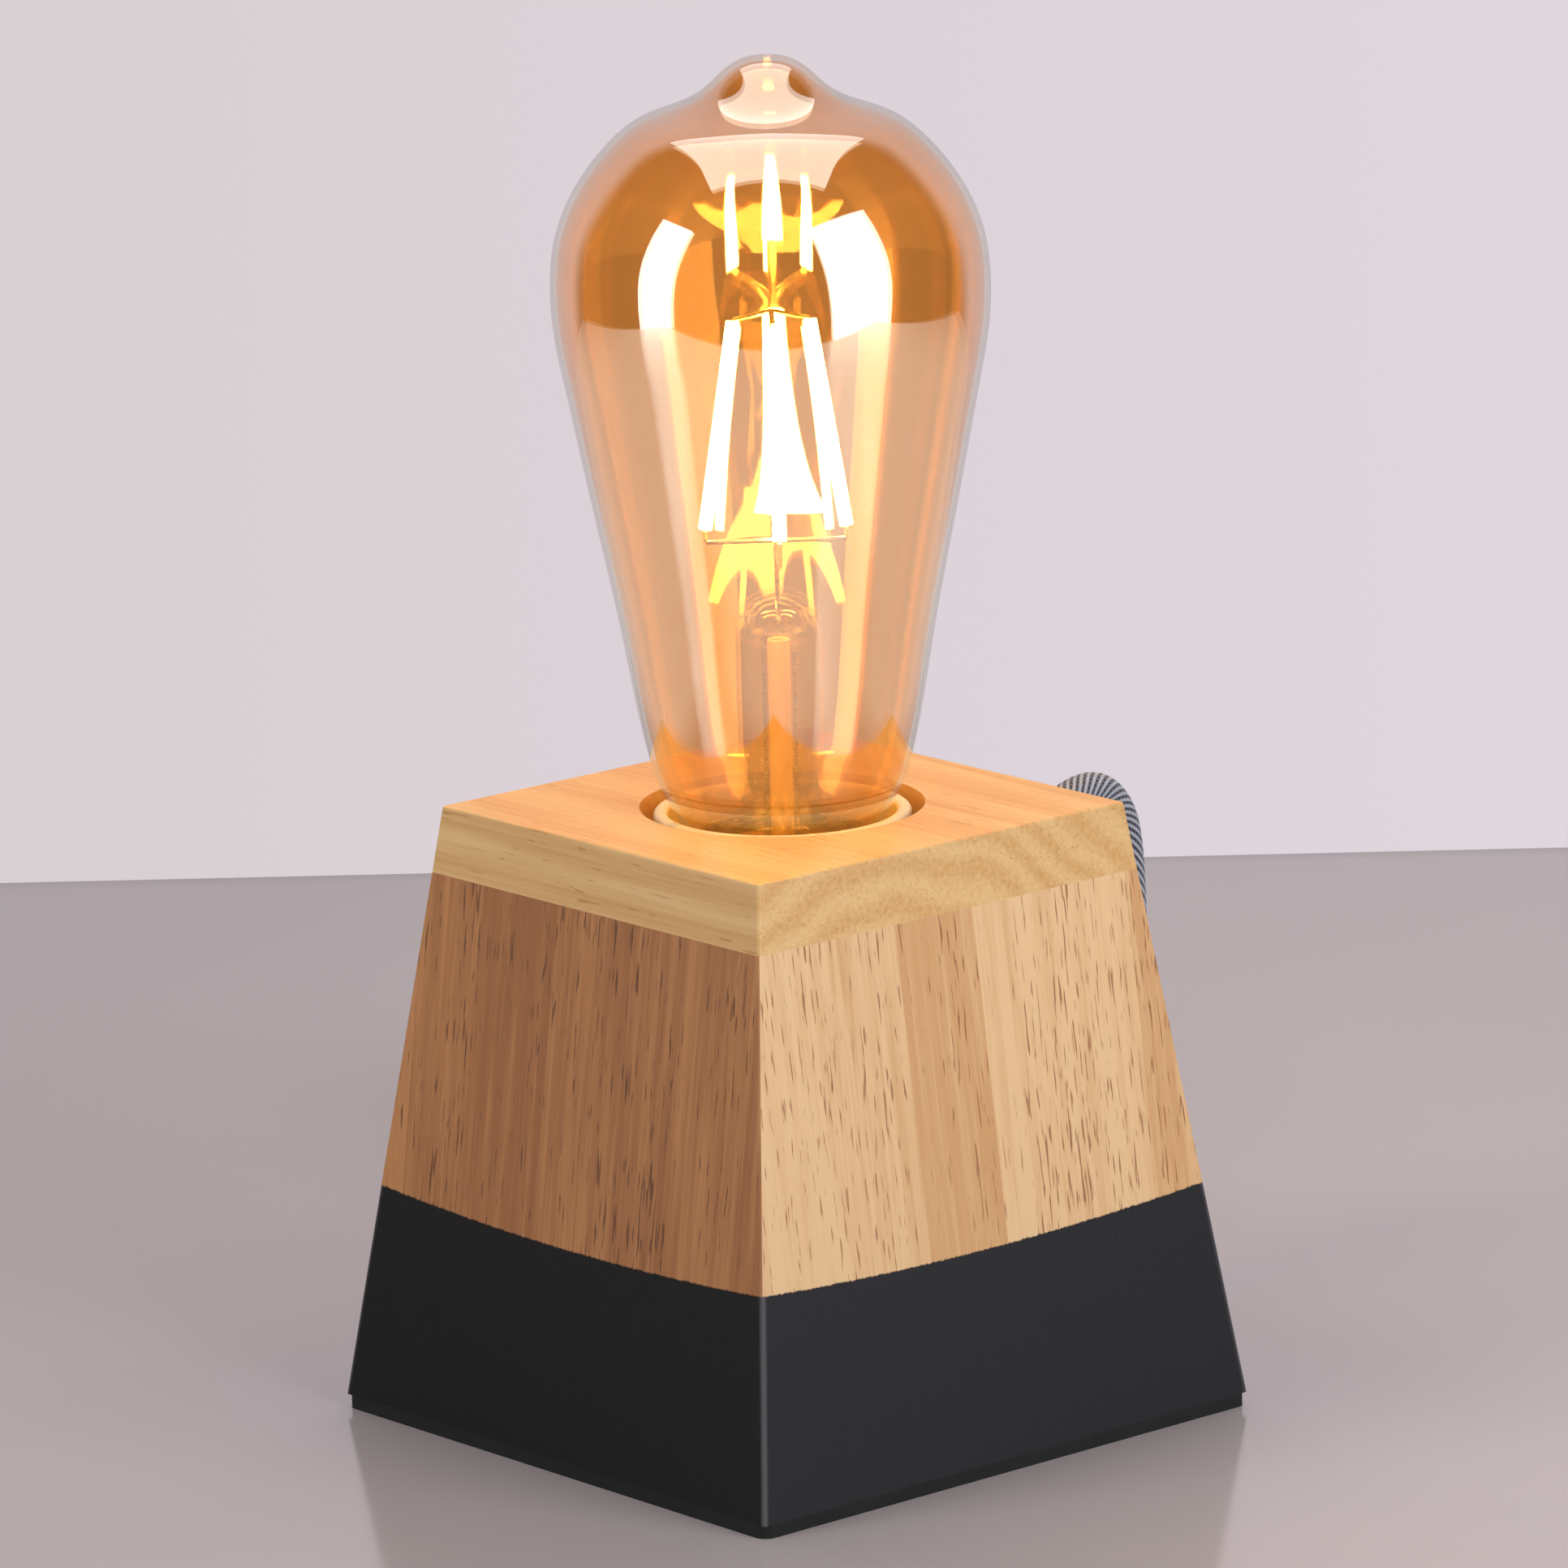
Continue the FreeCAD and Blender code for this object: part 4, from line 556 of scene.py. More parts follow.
@dataclass(frozen=True)
class BraidedTextile(Finish):
    """Rayon braid over the cord, woven from dark and pale threads: fine slanting stripes that cross.

    A real thread is about 0.3 mm wide. It is drawn about 0.5 mm wide here, so that it shows in the picture.
    """

    dark: str = "#343849"
    pale: str = "#A6A9B8"
    pitch_mm: float = 1.6
    threads: int = 16

    def shade(self, tree: Tree, place: Socket) -> Socket:
        """Builds the shader. The mesh's UV holds the way along in millimetres and the turn round, 0 to 1."""
        spots = add(tree, "UVMap", uv_map="braid").outputs[0]
        split = add(tree, "SeparateXYZ", {0: spots})
        along = add(tree, "Math", {
            0: split.outputs[0], 1: 1 / self.pitch_mm}, operation="MULTIPLY").outputs[0]
        waves = []
        for lean in (1.0, -1.0):
            turn = add(tree, "Math", {
                0: split.outputs[1], 1: lean * self.threads, 2: along}, operation="MULTIPLY_ADD").outputs[0]
            angle = add(tree, "Math", {0: turn, 1: 2 * math.pi}, operation="MULTIPLY").outputs[0]
            waves.append(add(tree, "Math", {0: angle}, operation="SINE").outputs[0])
        over = add(tree, "Math", {0: waves[0], 1: waves[1]}, operation="MULTIPLY").outputs[0]
        stripe = add(tree, "Math", {
            0: over, 1: 0.6, 2: waves[0]}, operation="MULTIPLY_ADD").outputs[0]
        share = add(tree, "MapRange", {
            0: stripe, 1: -0.35, 2: 0.35}, interpolation_type="SMOOTHSTEP").outputs[0]
        fuzz = add(tree, "TexNoise", {"Vector": place, "Scale": 2600.0, "Detail": 2.0}).outputs[0]
        colour = add(tree, "Mix", {
            0: share, 6: linear(self.dark), 7: linear(self.pale)}, data_type="RGBA").outputs[2]
        shade = add(tree, "MapRange", {0: fuzz, 3: 0.75, 4: 1.2}).outputs[0]
        colour = add(tree, "VectorMath", {
            0: colour, "Scale": shade}, operation="SCALE").outputs[0]
        height = add(tree, "Math", {
            0: fuzz, 1: 0.4, 2: over}, operation="MULTIPLY_ADD").outputs[0]
        bump = add(tree, "Bump", {"Height": height, "Strength": 0.5, "Distance": 0.25 * MM})
        shader = add(tree, "BsdfPrincipled", {
            "Base Color": colour, "Roughness": 0.75, "Sheen Weight": 0.35, "Sheen Roughness": 0.4,
            "Normal": bump.outputs[0]})
        return shader.outputs[0]


# ---------------- studio


@dataclass(frozen=True)
class LacqueredTop(Finish):
    """A lacquered table top: pale, with a soft mirror and a slow change of tone.

    White cards lie on it just outside the view, on three sides, and brighten the bulb.
    """

    far_mm: float = 344.0                   # where the top ends behind the lamp
    shade_mm: float = 10.0                  # how far before that it darkens
    card_mm: float = -150.0                 # where the card before the lamp begins
    card_fade_mm: float = 40.0
    side_card_mm: Pair = (190.0, 230.0)
    tones: tuple[str, str] = ("#ACA1A1", "#BDB2B2")
    edge: str = "#6F6669"
    card: str = "#F6F1EC"

    def shade(self, tree: Tree, place: Socket) -> Socket:
        """Builds the shader, as its base class says."""
        cloud = add(tree, "TexNoise", {"Vector": place, "Scale": 5.0, "Detail": 1.0}).outputs[0]
        split = add(tree, "SeparateXYZ", {0: place})
        aside, far = split.outputs[0], split.outputs[1]
        lean = add(tree, "Math", {
            0: aside, 1: 4.0, 2: cloud}, operation="MULTIPLY_ADD").outputs[0]
        share = add(tree, "MapRange", {0: lean, 1: 0.05, 2: 0.95}).outputs[0]
        colour = add(tree, "Mix", {
            0: share, 6: linear(self.tones[0]), 7: linear(self.tones[1])}, data_type="RGBA").outputs[2]
        fade = add(tree, "MapRange", {
            0: far, 1: (self.far_mm - self.shade_mm) * MM, 2: self.far_mm * MM, 3: 0.0, 4: 0.5}).outputs[0]
        colour = add(tree, "Mix", {
            0: fade, 6: colour, 7: linear(self.edge)}, data_type="RGBA").outputs[2]
        front = add(tree, "MapRange", {
            0: far, 1: self.card_mm * MM, 2: (self.card_mm - self.card_fade_mm) * MM}).outputs[0]
        wide = add(tree, "Math", {0: aside}, operation="ABSOLUTE").outputs[0]
        sides = add(tree, "MapRange", {
            0: wide, 1: self.side_card_mm[0] * MM, 2: self.side_card_mm[1] * MM}).outputs[0]
        card = add(tree, "Math", {0: front, 1: sides}, operation="MAXIMUM").outputs[0]
        colour = add(tree, "Mix", {
            0: card, 6: colour, 7: linear(self.card)}, data_type="RGBA").outputs[2]
        shader = add(tree, "BsdfPrincipled", {
            "Base Color": colour, "Roughness": 0.13, "IOR": 1.9})
        return shader.outputs[0]


@dataclass(frozen=True)
class Softbox:
    """A soft light that looks at the bulb, and that the camera doesn't see."""

    name: str
    turn: float                     # degrees to the right of the camera, seen from the lamp
    lift: float                     # degrees above the table
    size: Pair                      # width and height, m
    strength: float                 # brightness of its face, where 1 is white
    reach: float = 0.95             # distance from the bulb, m
    aim: float = 0.12               # height that it looks at, m

    def build(self, azimuth: float) -> None:
        """Sets up the light.

        Args:
            azimuth: The camera's own place, in degrees to the right of the lamp's front.
        """
        width, height = self.size
        data = bpy.data.lights.new(self.name, "AREA")
        data.shape, data.size, data.size_y = "RECTANGLE", width, height
        data.energy = self.strength * math.pi * width * height
        way = direction(azimuth + self.turn, self.lift)
        light = bpy.data.objects.new(self.name, data)
        light.location = Vector((0, 0, self.aim)) + way * self.reach
        light.rotation_mode = "QUATERNION"
        light.rotation_quaternion = way.to_track_quat("Z", "Y")
        light.visible_camera = False
        bpy.context.scene.collection.objects.link(light)


@dataclass
class Studio:
    """The table, the lights, what surrounds the table, and the camera where the photographer stood."""

    azimuth: float = 49.138
    elevation: float = 13.223
    roll: float = -1.302
    distance_mm: float = 1532.55
    lens_mm: float = 239.93
    aim_mm: float = 94.94
    aside_mm: float = 0.33
    near_mm: float = 520.0
    wide_mm: float = 1500.0
    thick_mm: float = 30.0
    edge_mm: float = 4.0                    # bevel of the table's far edge
    room_starts: Pair = (-0.62, -0.45)      # where the pale wall gives way to the dim room
    room_light: float = 0.9
    wall_blend: float = 0.08
    top: LacqueredTop = LacqueredTop("lacquered_table_top")
    lights: tuple[Softbox, ...] = (
        Softbox("softbox_right", 48, 15, (0.6, 1.2), 4.4),
        Softbox("softbox_left", -62, 14, (0.34, 1.0), 5.2),
        Softbox("ceiling", 180, 80, (1.4, 1.4), 1.9, 1.4),
    )

    def axes(self) -> tuple[Vector, Vector, Vector]:
        """Works out the camera's directions before its roll.

        Returns:
            The ways to its right, up and back.
        """
        back = direction(self.azimuth, self.elevation)
        right = Vector((0, 0, 1)).cross(back).normalized()
        return right, back.cross(right), back

    def place_camera(self) -> None:
        """Puts the camera where the photograph was taken."""
        right, up, back = self.axes()
        roll = math.radians(self.roll)
        turned_right = right * math.cos(roll) + up * math.sin(roll)
        turned_up = up * math.cos(roll) - right * math.sin(roll)
        data = bpy.data.cameras.new("photographer")
        data.sensor_fit, data.sensor_width, data.lens = "HORIZONTAL", SENSOR_MM, self.lens_mm
        data.clip_start, data.clip_end = CLIP
        camera = bpy.data.objects.new("photographer", data)
        place = Vector((0, 0, self.aim_mm)) + right * self.aside_mm + back * self.distance_mm
        matrix = Matrix((turned_right, turned_up, back)).transposed().to_4x4()
        matrix.translation = place * MM
        camera.matrix_world = matrix
        bpy.context.scene.collection.objects.link(camera)
        bpy.context.scene.camera = camera

    def build_table(self) -> None:
        """Builds the table top, with its far edge where the photograph has it."""
        half = self.wide_mm * MM / 2
        low, high = -self.near_mm * MM, self.top.far_mm * MM
        bevel, under = self.edge_mm * MM, -self.thick_mm * MM
        points = [
            (-half, low, 0), (half, low, 0), (half, high - bevel, 0), (-half, high - bevel, 0),
            (half, high, -bevel), (-half, high, -bevel), (half, high, under), (-half, high, under),
        ]
        faces = [(0, 1, 2, 3), (3, 2, 4, 5), (5, 4, 6, 7)]
        table = mesh_piece("table_top", points, faces, self.top.make(), smooth=False)
        table.rotation_euler = (0, 0, math.radians(self.azimuth))

    def build_world(self) -> None:
        """Sets what surrounds the table: a pale wall behind it and a dimmer room before it."""
        world = bpy.data.worlds.new("room")
        world.use_nodes = True
        tree = world.node_tree
        tree.nodes.clear()
        out = add(tree, "OutputWorld")
        place = add(tree, "TexCoord").outputs["Generated"]
        right, _, back = self.axes()
        level = Vector((back.x, back.y, 0)).normalized()
        toward = add(tree, "VectorMath", {0: place, 1: level},
                     operation="DOT_PRODUCT").outputs[1]
        room = add(tree, "MapRange", {
            0: toward, 1: self.room_starts[0], 2: self.room_starts[1]},
            interpolation_type="SMOOTHSTEP").outputs[0]
        colour = add(tree, "Mix", {
            0: room, 6: linear("#D2C8CF"), 7: linear("#262422")}, data_type="RGBA").outputs[2]
        lit = add(tree, "Background", {0: colour, 1: self.room_light})
        aside = add(tree, "VectorMath", {0: place, 1: right},
                    operation="DOT_PRODUCT").outputs[1]
        share = add(tree, "MapRange", {
            0: aside, 1: -self.wall_blend, 2: self.wall_blend}).outputs[0]
        wall = add(tree, "Mix", {
            0: share, 6: linear("#D9CFD2"), 7: linear("#E0D6DF")}, data_type="RGBA").outputs[2]
        seen = add(tree, "Background", {0: wall, 1: 1.0})
        direct = add(tree, "LightPath").outputs["Is Camera Ray"]
        mix = add(tree, "MixShader", {0: direct, 1: lit.outputs[0], 2: seen.outputs[0]})
        tree.links.new(mix.outputs[0], out.inputs[0])
        bpy.context.scene.world = world
        bpy.context.scene.view_settings.view_transform = "Standard"

    def build(self) -> None:
        """Builds the whole studio."""
        self.place_camera()
        self.build_table()
        self.build_world()
        for light in self.lights:
            light.build(self.azimuth)


# ---------------- wooden block


@dataclass
class WoodBlock:
    """The tapered block: cap, four mitred boards, floor, corner blocks, pad and screws."""

    # Both are the same oiled wood. The front looks away from the light, so its tones are deeper.
    front: StavedBoard = StavedBoard("staved_rubberwood_front", Grain.ACROSS_X, 0.113, pale="#BC824F",
                                     deep="#9A6237", pore="#502811", paint="#060506")
    side: StavedBoard = StavedBoard("staved_rubberwood_side", Grain.ACROSS_Y, 0.571, pale="#E2BC8E",
                                    deep="#CB9A68", pore="#87481F", paint="#1D1C22")
    # One board with its figure along X: paler and yellower than the sides.
    cap: SolidWood = SolidWood("planed_rubberwood_cap")
    # Sawn and left without oil: dull and a little grey.
    inner: SolidWood = SolidWood("sawn_rubberwood_inside", pale="#CDA878", deep="#B5895A")
    # Open cells of foam: black with no shine.
    pad: Moulded = Moulded("black_foam_pad", "#17171A", 0.85, 1.45, 0.4, 0.4)
    # Zinc plating: a bluish grey, half blurred mirror.
    screws: Metal = Metal("zinced_steel_screws", "#A9A9A4", 0.32)

    def build(self) -> None:
        """Dresses the block."""
        front, side, inner = self.front.make(), self.side.make(), self.inner.make()
        steel = self.screws.make()
        for node, material in (
            ("top_cap", self.cap.make()), ("front_board", front), ("rear_board", front),
            ("right_board", side), ("left_board", side), ("bottom_board", inner), ("corner_blocks", inner),
            ("foot_pad", self.pad.make()), ("bottom_screws", steel), ("bracket_screws", steel),
        ):
            dress(node, material)


# ---------------- lampholder


@dataclass
class Lampholder:
    """The holder sunk in the cap, with its insert, contacts, wires, bracket and stem."""

    # Pressed thermoset: cream, with the soft shine of its polished mould.
    casing: Moulded = Moulded("moulded_cream_thermoset", "#EBD9AE", 0.3, 1.55, 0.3, 0.05)
    # Fired steatite without glaze: chalky and white.
    insert: Moulded = Moulded("unglazed_steatite", "#DDD9CF", 0.6, 1.6, 0.3, 0.1)
    # Stamped sheet: yellow, with faint lines of the tool.
    brass: Metal = Metal("stamped_brass", "#D8B25A", 0.25)
    # Pressed and plated sheet: grey, with a blurred mirror.
    steel: Metal = Metal("pressed_zinced_steel", "#B4B5B2", 0.3)
    # Extruded sleeves: plain colours with a low shine.
    live: Moulded = Moulded("brown_pvc_sleeve", "#5B3320", 0.4)
    neutral: Moulded = Moulded("blue_pvc_sleeve", "#2E5FA8", 0.4)

    def build(self) -> None:
        """Dresses the holder."""
        casing, brass, steel = self.casing.make(), self.brass.make(), self.steel.make()
        for node, material in (
            ("holder_collar", casing), ("holder_dome", casing), ("holder_insert", self.insert.make()),
            ("thread_shell", brass), ("centre_contact", brass), ("side_contact", brass),
            ("terminal_blocks", brass), ("holder_nipple", brass), ("lock_nut", brass),
            ("terminal_screws", steel), ("toothed_washer", steel), ("holder_bracket", steel),
            ("wire_live", self.live.make()), ("wire_neutral", self.neutral.make()),
        ):
            dress(node, material)


# ---------------- bulb


@dataclass
class FilamentBulb:
    """The pear-shaped bulb with its four lit sticks."""

    # The glass's outline: radius and height above the wood, mm.
    neck: tuple = ((13.1, -4.65), (14.5, -3.0), (16.0, -0.6), (17.1, 1.5), (18.1, 3.5), (18.8, 5.6))
    cone: tuple = ((22.77, 25.6), (26.6, 44.8))
    crown: tuple = (
        (30.4, 64.0), (31.5, 70.0), (32.0, 77.5), (31.1, 85.0), (28.1, 92.0), (23.5, 98.0), (19.2, 101.5),
        (15.0, 103.2), (11.9, 104.5), (9.0, 106.3), (5.8, 109.2), (3.2, 110.6), (0.0, 111.0),
    )
    line_steps: int = 8
    wall_mm: float = 0.9
    around: int = 192
    # Bare glass outside: almost clear, with a white mirror.
    outer: LustreGlass = LustreGlass("blown_amber_glass_outside", "#FFFBF4", "#F6F6F0", 0.17, 3.0)
    # Lustre inside: amber to look through, a second, warmer mirror, and a faint painted glow.
    inner: LustreGlass = LustreGlass("amber_lustre_inside", "#FBD294", "#F4EFDF", 0.22, 3.0, glow=0.08)
    # Pressed stem: clear, with blurred shine where it was pinched.
    clear: LustreGlass = LustreGlass("clear_stem_glass", "#FFFBF0", "#FFF6E2", 0.03, 4.0, 0.4)
    # Drawn tube: a pale rod with a sharp shine, shown solid. Its pale amber stands in for the clear glass
    # together with the sticks' light seen in it, so it is partly painted light.
    tube: Moulded = Moulded("drawn_glass_tube", "#E6C791", 0.15, 1.5, 0.4, 0.02)
    # Nickel wire: warm grey glints.
    wire: Metal = Metal("drawn_nickel_wire", "#C9B48A", 0.25)
    sticks: LitPhosphor = LitPhosphor("lit_phosphor_sticks")
    # Rolled thread: pale brass with a soft mirror.
    thread: Metal = Metal("rolled_nickel_brass", "#CDB27A", 0.25)
    # Cap glass: black with a wet shine.
    insulator: Moulded = Moulded("black_cap_glass", "#131318", 0.2)
    # Solder: dull silver.
    tip: Metal = Metal("soldered_tip", "#B9B8B2", 0.35)
    # Lacquered board: dark green with a low shine.
    driver: Moulded = Moulded("green_circuit_board", "#1F5A34", 0.45)

    def skin(self, inset: float) -> list[Pair]:
        """Gives the glass's outline, set in by a distance.

        Args:
            inset: Distance inwards in millimetres.

        Returns:
            Radius and height in millimetres, from the foot to the tip.
        """
        line = np.array(smooth_line([*self.neck, *self.cone, *self.crown], self.line_steps))
        line[:, 1] += BLOCK_TOP
        way = np.gradient(line, axis=0)
        way /= np.linalg.norm(way, axis=1)[:, None]
        way[-1] = (-1, 0)
        line = line + np.stack([-way[:, 1], way[:, 0]], axis=1) * inset
        line[:, 0] = np.maximum(line[:, 0], 0)
        line[-1, 0] = 0
        return [tuple(p) for p in line]

    def blow_glass(self) -> None:
        """Makes the body of glass from an outer and an inner skin."""
        outer, inner = self.outer.make(), self.inner.make()
        shell = lathe("amber_glass_body", self.skin(0.0), self.around, outer)
        lining = lathe("amber_glass_lining", self.skin(self.wall_mm), self.around, inner)
        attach(shell, "bulb")
        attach(lining, "bulb")
        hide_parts("bulb_glass")

    def build(self) -> None:
        """Builds and dresses the bulb."""
        self.blow_glass()
        wire = self.wire.make()
        for node, material in (
            ("glass_stem", self.clear.make()), ("exhaust_tube", self.tube.make()), ("support_wires", wire),
            ("lead_wires", wire), ("filament_sticks", self.sticks.make()),
            ("bulb_cap_shell", self.thread.make()), ("bulb_cap_insulator", self.insulator.make()),
            ("bulb_tip_contact", self.tip.make()), ("led_driver", self.driver.make()),
        ):
            dress(node, material)


# ---------------- lead


@dataclass
class Lead:
    """The braided lead: one line from the bushing by the switch to the plug, its spare length coiled."""

    diameter: float = 6.0
    # From the exit over the arch and down to the switch.
    run: tuple = (
        (0.0, 45.46, 77.86), (0.0, 49.42, 78.39), (-1.9, 58.2, 82.1), (-3.5, 66.1, 82.5), (-4.6, 71.4, 77.6),
        (-5.0, 73.1, 69.3), (-5.2, 73.5, 53.0), (-3.9, 73.9, 36.2), (-1.5, 74.1, 19.9), (-6.6, 76.5, 11.5),
        (-14.79, 80.88, 7.0), (-24.06, 84.62, 7.0),
    )
    # Way past the switch and height, down to the coil.
    lead_steps: tuple = ((0.0, 7.0), (7.2, 7.0), (17.8, 3.65), (25.0, 3.65))
    switch_length: float = 46.0
    tail_first_run: float = 10.4
    tail: tuple = ((-149.82, 93.23, 25.8), (-150.48, 82.88, 29.4), (-146.37, 73.28, 32.3),
                   (-138.32, 66.7, 33.4), (-128.19, 64.52, 33.4))
    turns: float = 7.157
    layers: int = 4
    coil_r: float = 37.0
    step: float = 6.5
    turn_points: int = 24
    length: float = 1667.0
    around: int = 20
    tie_angle: float = 18.0
    tie_gap: float = 0.15
    tie_corner: float = 2.8
    tie_corner_steps: int = 8
    # The strap's section: place across it and thickness.
    tie_section: tuple = ((-2.0, 0.0), (-1.8, 0.42), (0.0, 0.5), (1.8, 0.42), (2.0, 0.0))
    braid: BraidedTextile = BraidedTextile("braided_rayon_sleeve")
    # Soft strap: black, with a grit that kills its shine.
    strap: Moulded = Moulded("soft_black_strap", "#1B1B1E", 0.6, 1.5, 0.3, 0.3)
    # Moulded PVC: black, with a satin grain.
    black: Moulded = Moulded("black_moulded_pvc", "#1C1C1F", 0.42, 1.5, 0.35, 0.12)
    # Polished ABS: black, with a clear shine.
    gloss: Moulded = Moulded("black_polished_abs", "#151517", 0.18, 1.5, 0.5, 0.03)
    # Rolled spring strip: yellow and bright.
    brass: Metal = Metal("sprung_brass", "#D0AE62", 0.25)
    # Plated pins and screws: bright grey.
    steel: Metal = Metal("plated_pin_steel", "#C7C6C1", 0.22)
    route: list[Vector] = field(default_factory=list)

    def heading(self) -> Vector:
        """Works out the way in which the cord goes through the switch.

        Returns:
            A level vector of length 1.
        """
        last = Vector(self.run[-1]) - Vector(self.run[-2])
        return Vector((last.x, last.y, 0)).normalized()

    def coil_height(self, angle: float) -> float:
        """Works out how far the coil has risen.

        Args:
            angle: Angle along the coil in radians.

        Returns:
            The cord's rise above the coil's lowest layer, in layers.
        """
        rise = 0.0
        for layer in range(1, self.layers):
            share = (angle - layer * self.turns * 2 * math.pi / self.layers) / math.pi + 0.5
            share = min(max(share, 0.0), 1.0)
            rise += share * share * (3 - 2 * share)
        return rise

    def coil_radius(self, angle: float) -> float:
        """Works out how wide the coil is.

        Args:
            angle: Angle along the coil in radians.

        Returns:
            The cord's distance from the coil's axis.
        """
        one = self.turns * 2 * math.pi / self.layers
        layer = round(angle / one)
        off = abs(angle - layer * one)
        half = math.pi / 4
        if 0 < layer < self.layers and off < half:
            off = half / 2 + off * off / (2 * half)
        inward = off if layer % 2 == 0 else one - off
        return self.coil_r - self.step / (2 * math.pi) * inward

    def coil_frame(self) -> tuple[Vector, float, float]:
        """Works out where the coil lies.

        Returns:
            A point on its axis, the angle at which it begins and the height of its lowest turn.
        """
        heading = self.heading()
        ahead, low = self.lead_steps[-1]
        entry = Vector(self.run[-1]) + heading * (self.switch_length + ahead + self.diameter)
        entry.z = low
        course = math.atan2(heading.y, heading.x)
        first = course - math.pi / 2 - math.atan(self.step / (2 * math.pi) / self.coil_r)
        axis = entry - Vector((math.cos(first), math.sin(first), 0)) * self.coil_r
        return axis, first, low

    def coil_point(self, angle: float) -> Vector:
        """Works out a place on the coil.

        Args:
            angle: Angle along the coil in radians.

        Returns:
            The middle of the cord there.
        """
        axis, first, low = self.coil_frame()
        out = Vector((math.cos(first + angle), math.sin(first + angle), 0)) * self.coil_radius(angle)
        return Vector((axis.x + out.x, axis.y + out.y, low + self.step * self.coil_height(angle)))

    def lay_route(self) -> None:
        """Lists the route's points in metres."""
        heading = self.heading()
        points = [Vector(p) for p in self.run]
        for ahead, height in self.lead_steps:
            place = points[len(self.run) - 1] + heading * (self.switch_length + ahead)
            points.append(Vector((place.x, place.y, height)))
        total = self.turns * 2 * math.pi
        count = math.ceil(self.turns * self.turn_points)
        for i in range(count + 1):
            points.append(self.coil_point(total * i / count))
        way = (self.coil_point(total) - self.coil_point(total - 1e-4)).normalized()
        for reach in (self.diameter, self.diameter + self.tail_first_run):
            points.append(self.coil_point(total) + way * reach)
        points += [Vector(p) for p in self.tail]
        self.route = [p * MM for p in points]

    def centre_line(self) -> list[Vector]:
        """Draws the route as one smooth curve and reads the points along it.

        Returns:
            Places along the cord's centre, in metres.
        """
        curve = bpy.data.curves.new("lead_route", "CURVE")
        curve.dimensions = "3D"
        spline = curve.splines.new("NURBS")
        spline.points.add(len(self.route) - 1)
        for point, place in zip(spline.points, self.route):
            point.co = (*place, 1)
        spline.order_u = 3
        spline.use_endpoint_u = True
        spline.resolution_u = 10
        carrier = bpy.data.objects.new("lead_route", curve)
        bpy.context.scene.collection.objects.link(carrier)
        bpy.context.view_layer.update()
        line = bpy.data.meshes.new_from_object(carrier)
        places = [v.co.copy() for v in line.vertices]
        bpy.data.objects.remove(carrier)
        return places

    def sleeve(self, line: list[Vector]) -> Item:
        """Makes the braided sleeve as a tube along the line, with a UV for its braid.

        Args:
            line: Places along the cord's centre, in metres.

        Returns:
            The sleeve.
        """
        radius, around = self.diameter / 2 * MM, self.around
        points, ways = [], []
        for i in range(len(line)):
            ways.append((line[min(i + 1, len(line) - 1)] - line[max(i - 1, 0)]).normalized())
        side = ways[0].orthogonal().normalized()
        far = 0.0
        length = []
        for i, (place, way) in enumerate(zip(line, ways)):
            side = (side - way * side.dot(way)).normalized()
            up = way.cross(side)
            far += (place - line[i - 1]).length / MM if i else 0.0
            length.append(far)
            for k in range(around):
                angle = 2 * math.pi * k / around
                points.append(place + (side * math.cos(angle) + up * math.sin(angle)) * radius)
        faces, spots = [], []
        for i in range(len(line) - 1):
            for k in range(around):
                j = (k + 1) % around
                faces.append((i * around + k, i * around + j, (i + 1) * around + j, (i + 1) * around + k))
                spots += [(length[i], k / around), (length[i], (k + 1) / around),
                          (length[i + 1], (k + 1) / around), (length[i + 1], k / around)]
        faces.append(tuple(reversed(range(around))))
        faces.append(tuple(range(len(points) - around, len(points))))
        spots += [(0.0, 0.0)] * around + [(length[-1], 0.0)] * around
        piece = mesh_piece("braided_lead", points, faces, self.braid.make())
        layer = piece.data.uv_layers.new(name="braid")
        layer.data.foreach_set("uv", [value for spot in spots for value in spot])
        return piece

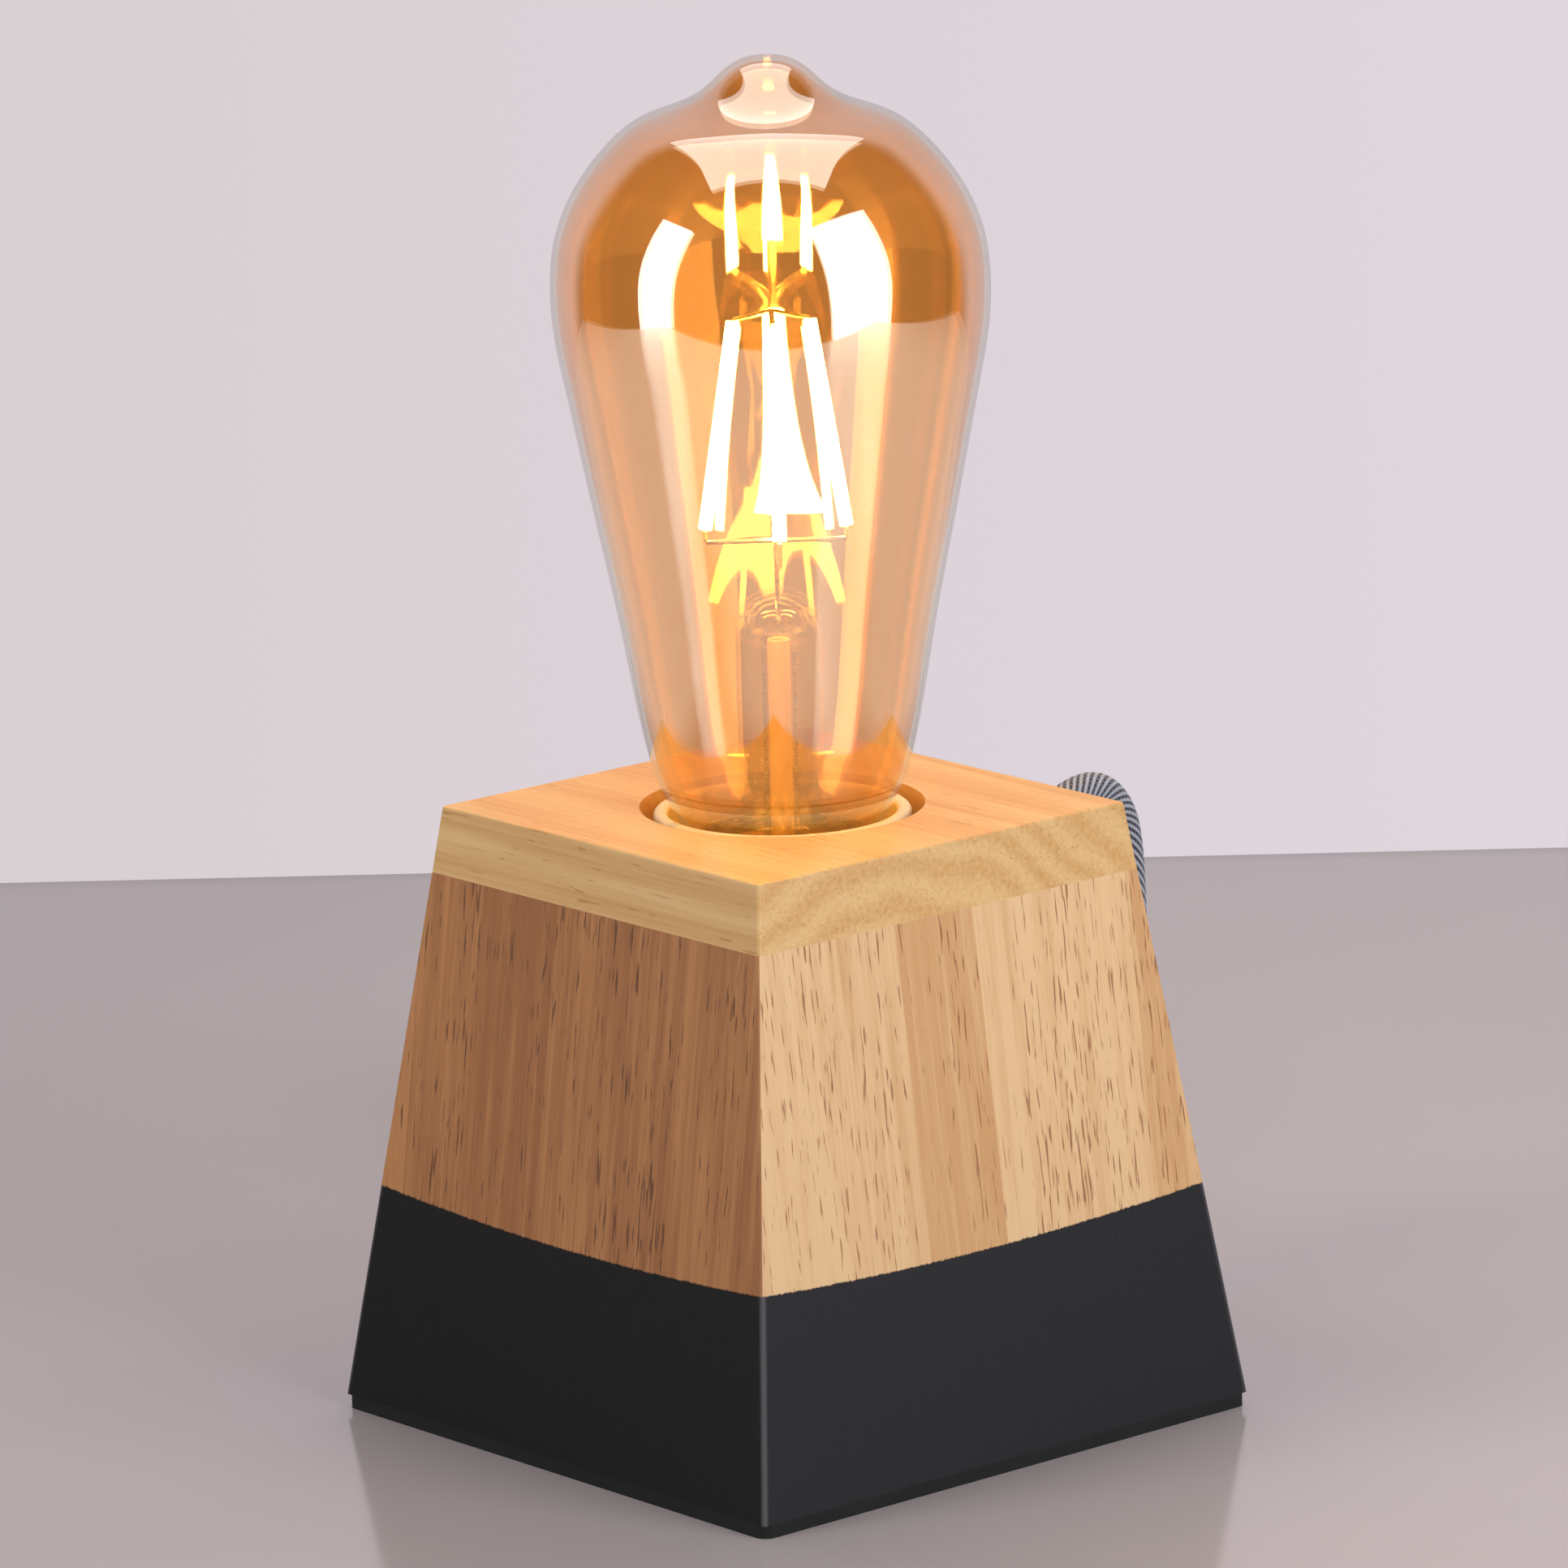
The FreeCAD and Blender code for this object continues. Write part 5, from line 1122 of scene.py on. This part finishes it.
    def tie(self) -> Item:
        """Makes the strap that holds the coil's turns together, as a band round the turns' section.

        Returns:
            The strap.
        """
        axis, first, _ = self.coil_frame()
        whole = 2 * math.pi
        start = (math.radians(self.tie_angle) - first) % whole
        passes = int((self.turns * whole - start) / whole) + 1
        angles = [start + whole * k for k in range(passes)]
        near = self.diameter / 2 + self.tie_gap - self.tie_corner
        radii = [self.coil_radius(a) for a in angles]
        heights = [self.coil_point(a).z for a in angles]
        low_r, high_r = min(radii) - near, max(radii) + near
        low_z, high_z = min(heights) - near, max(heights) + near
        out = Vector((math.cos(math.radians(self.tie_angle)), math.sin(math.radians(self.tie_angle)), 0))
        across = Vector((-out.y, out.x, 0))
        points = []
        corners = ((high_r, high_z, 0), (low_r, high_z, 90), (low_r, low_z, 180), (high_r, low_z, 270))
        for r, z, turn in corners:
            for i in range(self.tie_corner_steps + 1):
                angle = math.radians(turn + 90 * i / self.tie_corner_steps)
                for wide, thick in self.tie_section:
                    grow = self.tie_corner + thick
                    level = axis + out * (r + math.cos(angle) * grow) + across * wide
                    points.append(Vector((level.x, level.y, z + math.sin(angle) * grow)) * MM)
        faces = []
        size = len(self.tie_section)
        around = len(points) // size
        for i in range(around):
            j = (i + 1) % around
            for k in range(size):
                m = (k + 1) % size
                faces.append((i * size + k, i * size + m, j * size + m, j * size + k))
        return mesh_piece("coil_strap", points, faces, self.strap.make())

    def build(self) -> None:
        """Builds the lead and dresses what is on it."""
        self.lay_route()
        line = self.centre_line()
        piece = self.sleeve(line)
        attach(piece, "base")
        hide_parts("cord_inner", "cord_run", "cord_lead", "cord_coil", "cord_tail")
        strap = self.tie()
        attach(strap, "base")
        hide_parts("cord_tie")
        black, steel = self.black.make(), self.steel.make()
        for node, material in (
            ("cord_bushing", black), ("switch_base", black), ("switch_cover", black), ("plug_body", black),
            ("switch_rocker", self.gloss.make()), ("switch_contacts", self.brass.make()),
            ("switch_screws", steel), ("plug_pins", steel),
        ):
            dress(node, material)
        far = sum((b - a).length for a, b in zip(line, line[1:]))
        LOG.info("lead line %.4f m", far)


# ---------------- main


FRAME: dict = {}


def main() -> None:
    """Builds the studio and the lamp's pieces in order."""
    logging.basicConfig(level=logging.INFO, format="%(name)s %(message)s")
    FRAME.update(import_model())
    for part in (Studio(), Lead(), WoodBlock(), Lampholder(), FilamentBulb()):
        part.build()
        LOG.info("%s built", type(part).__name__)


if __name__ == "__main__":
    main()
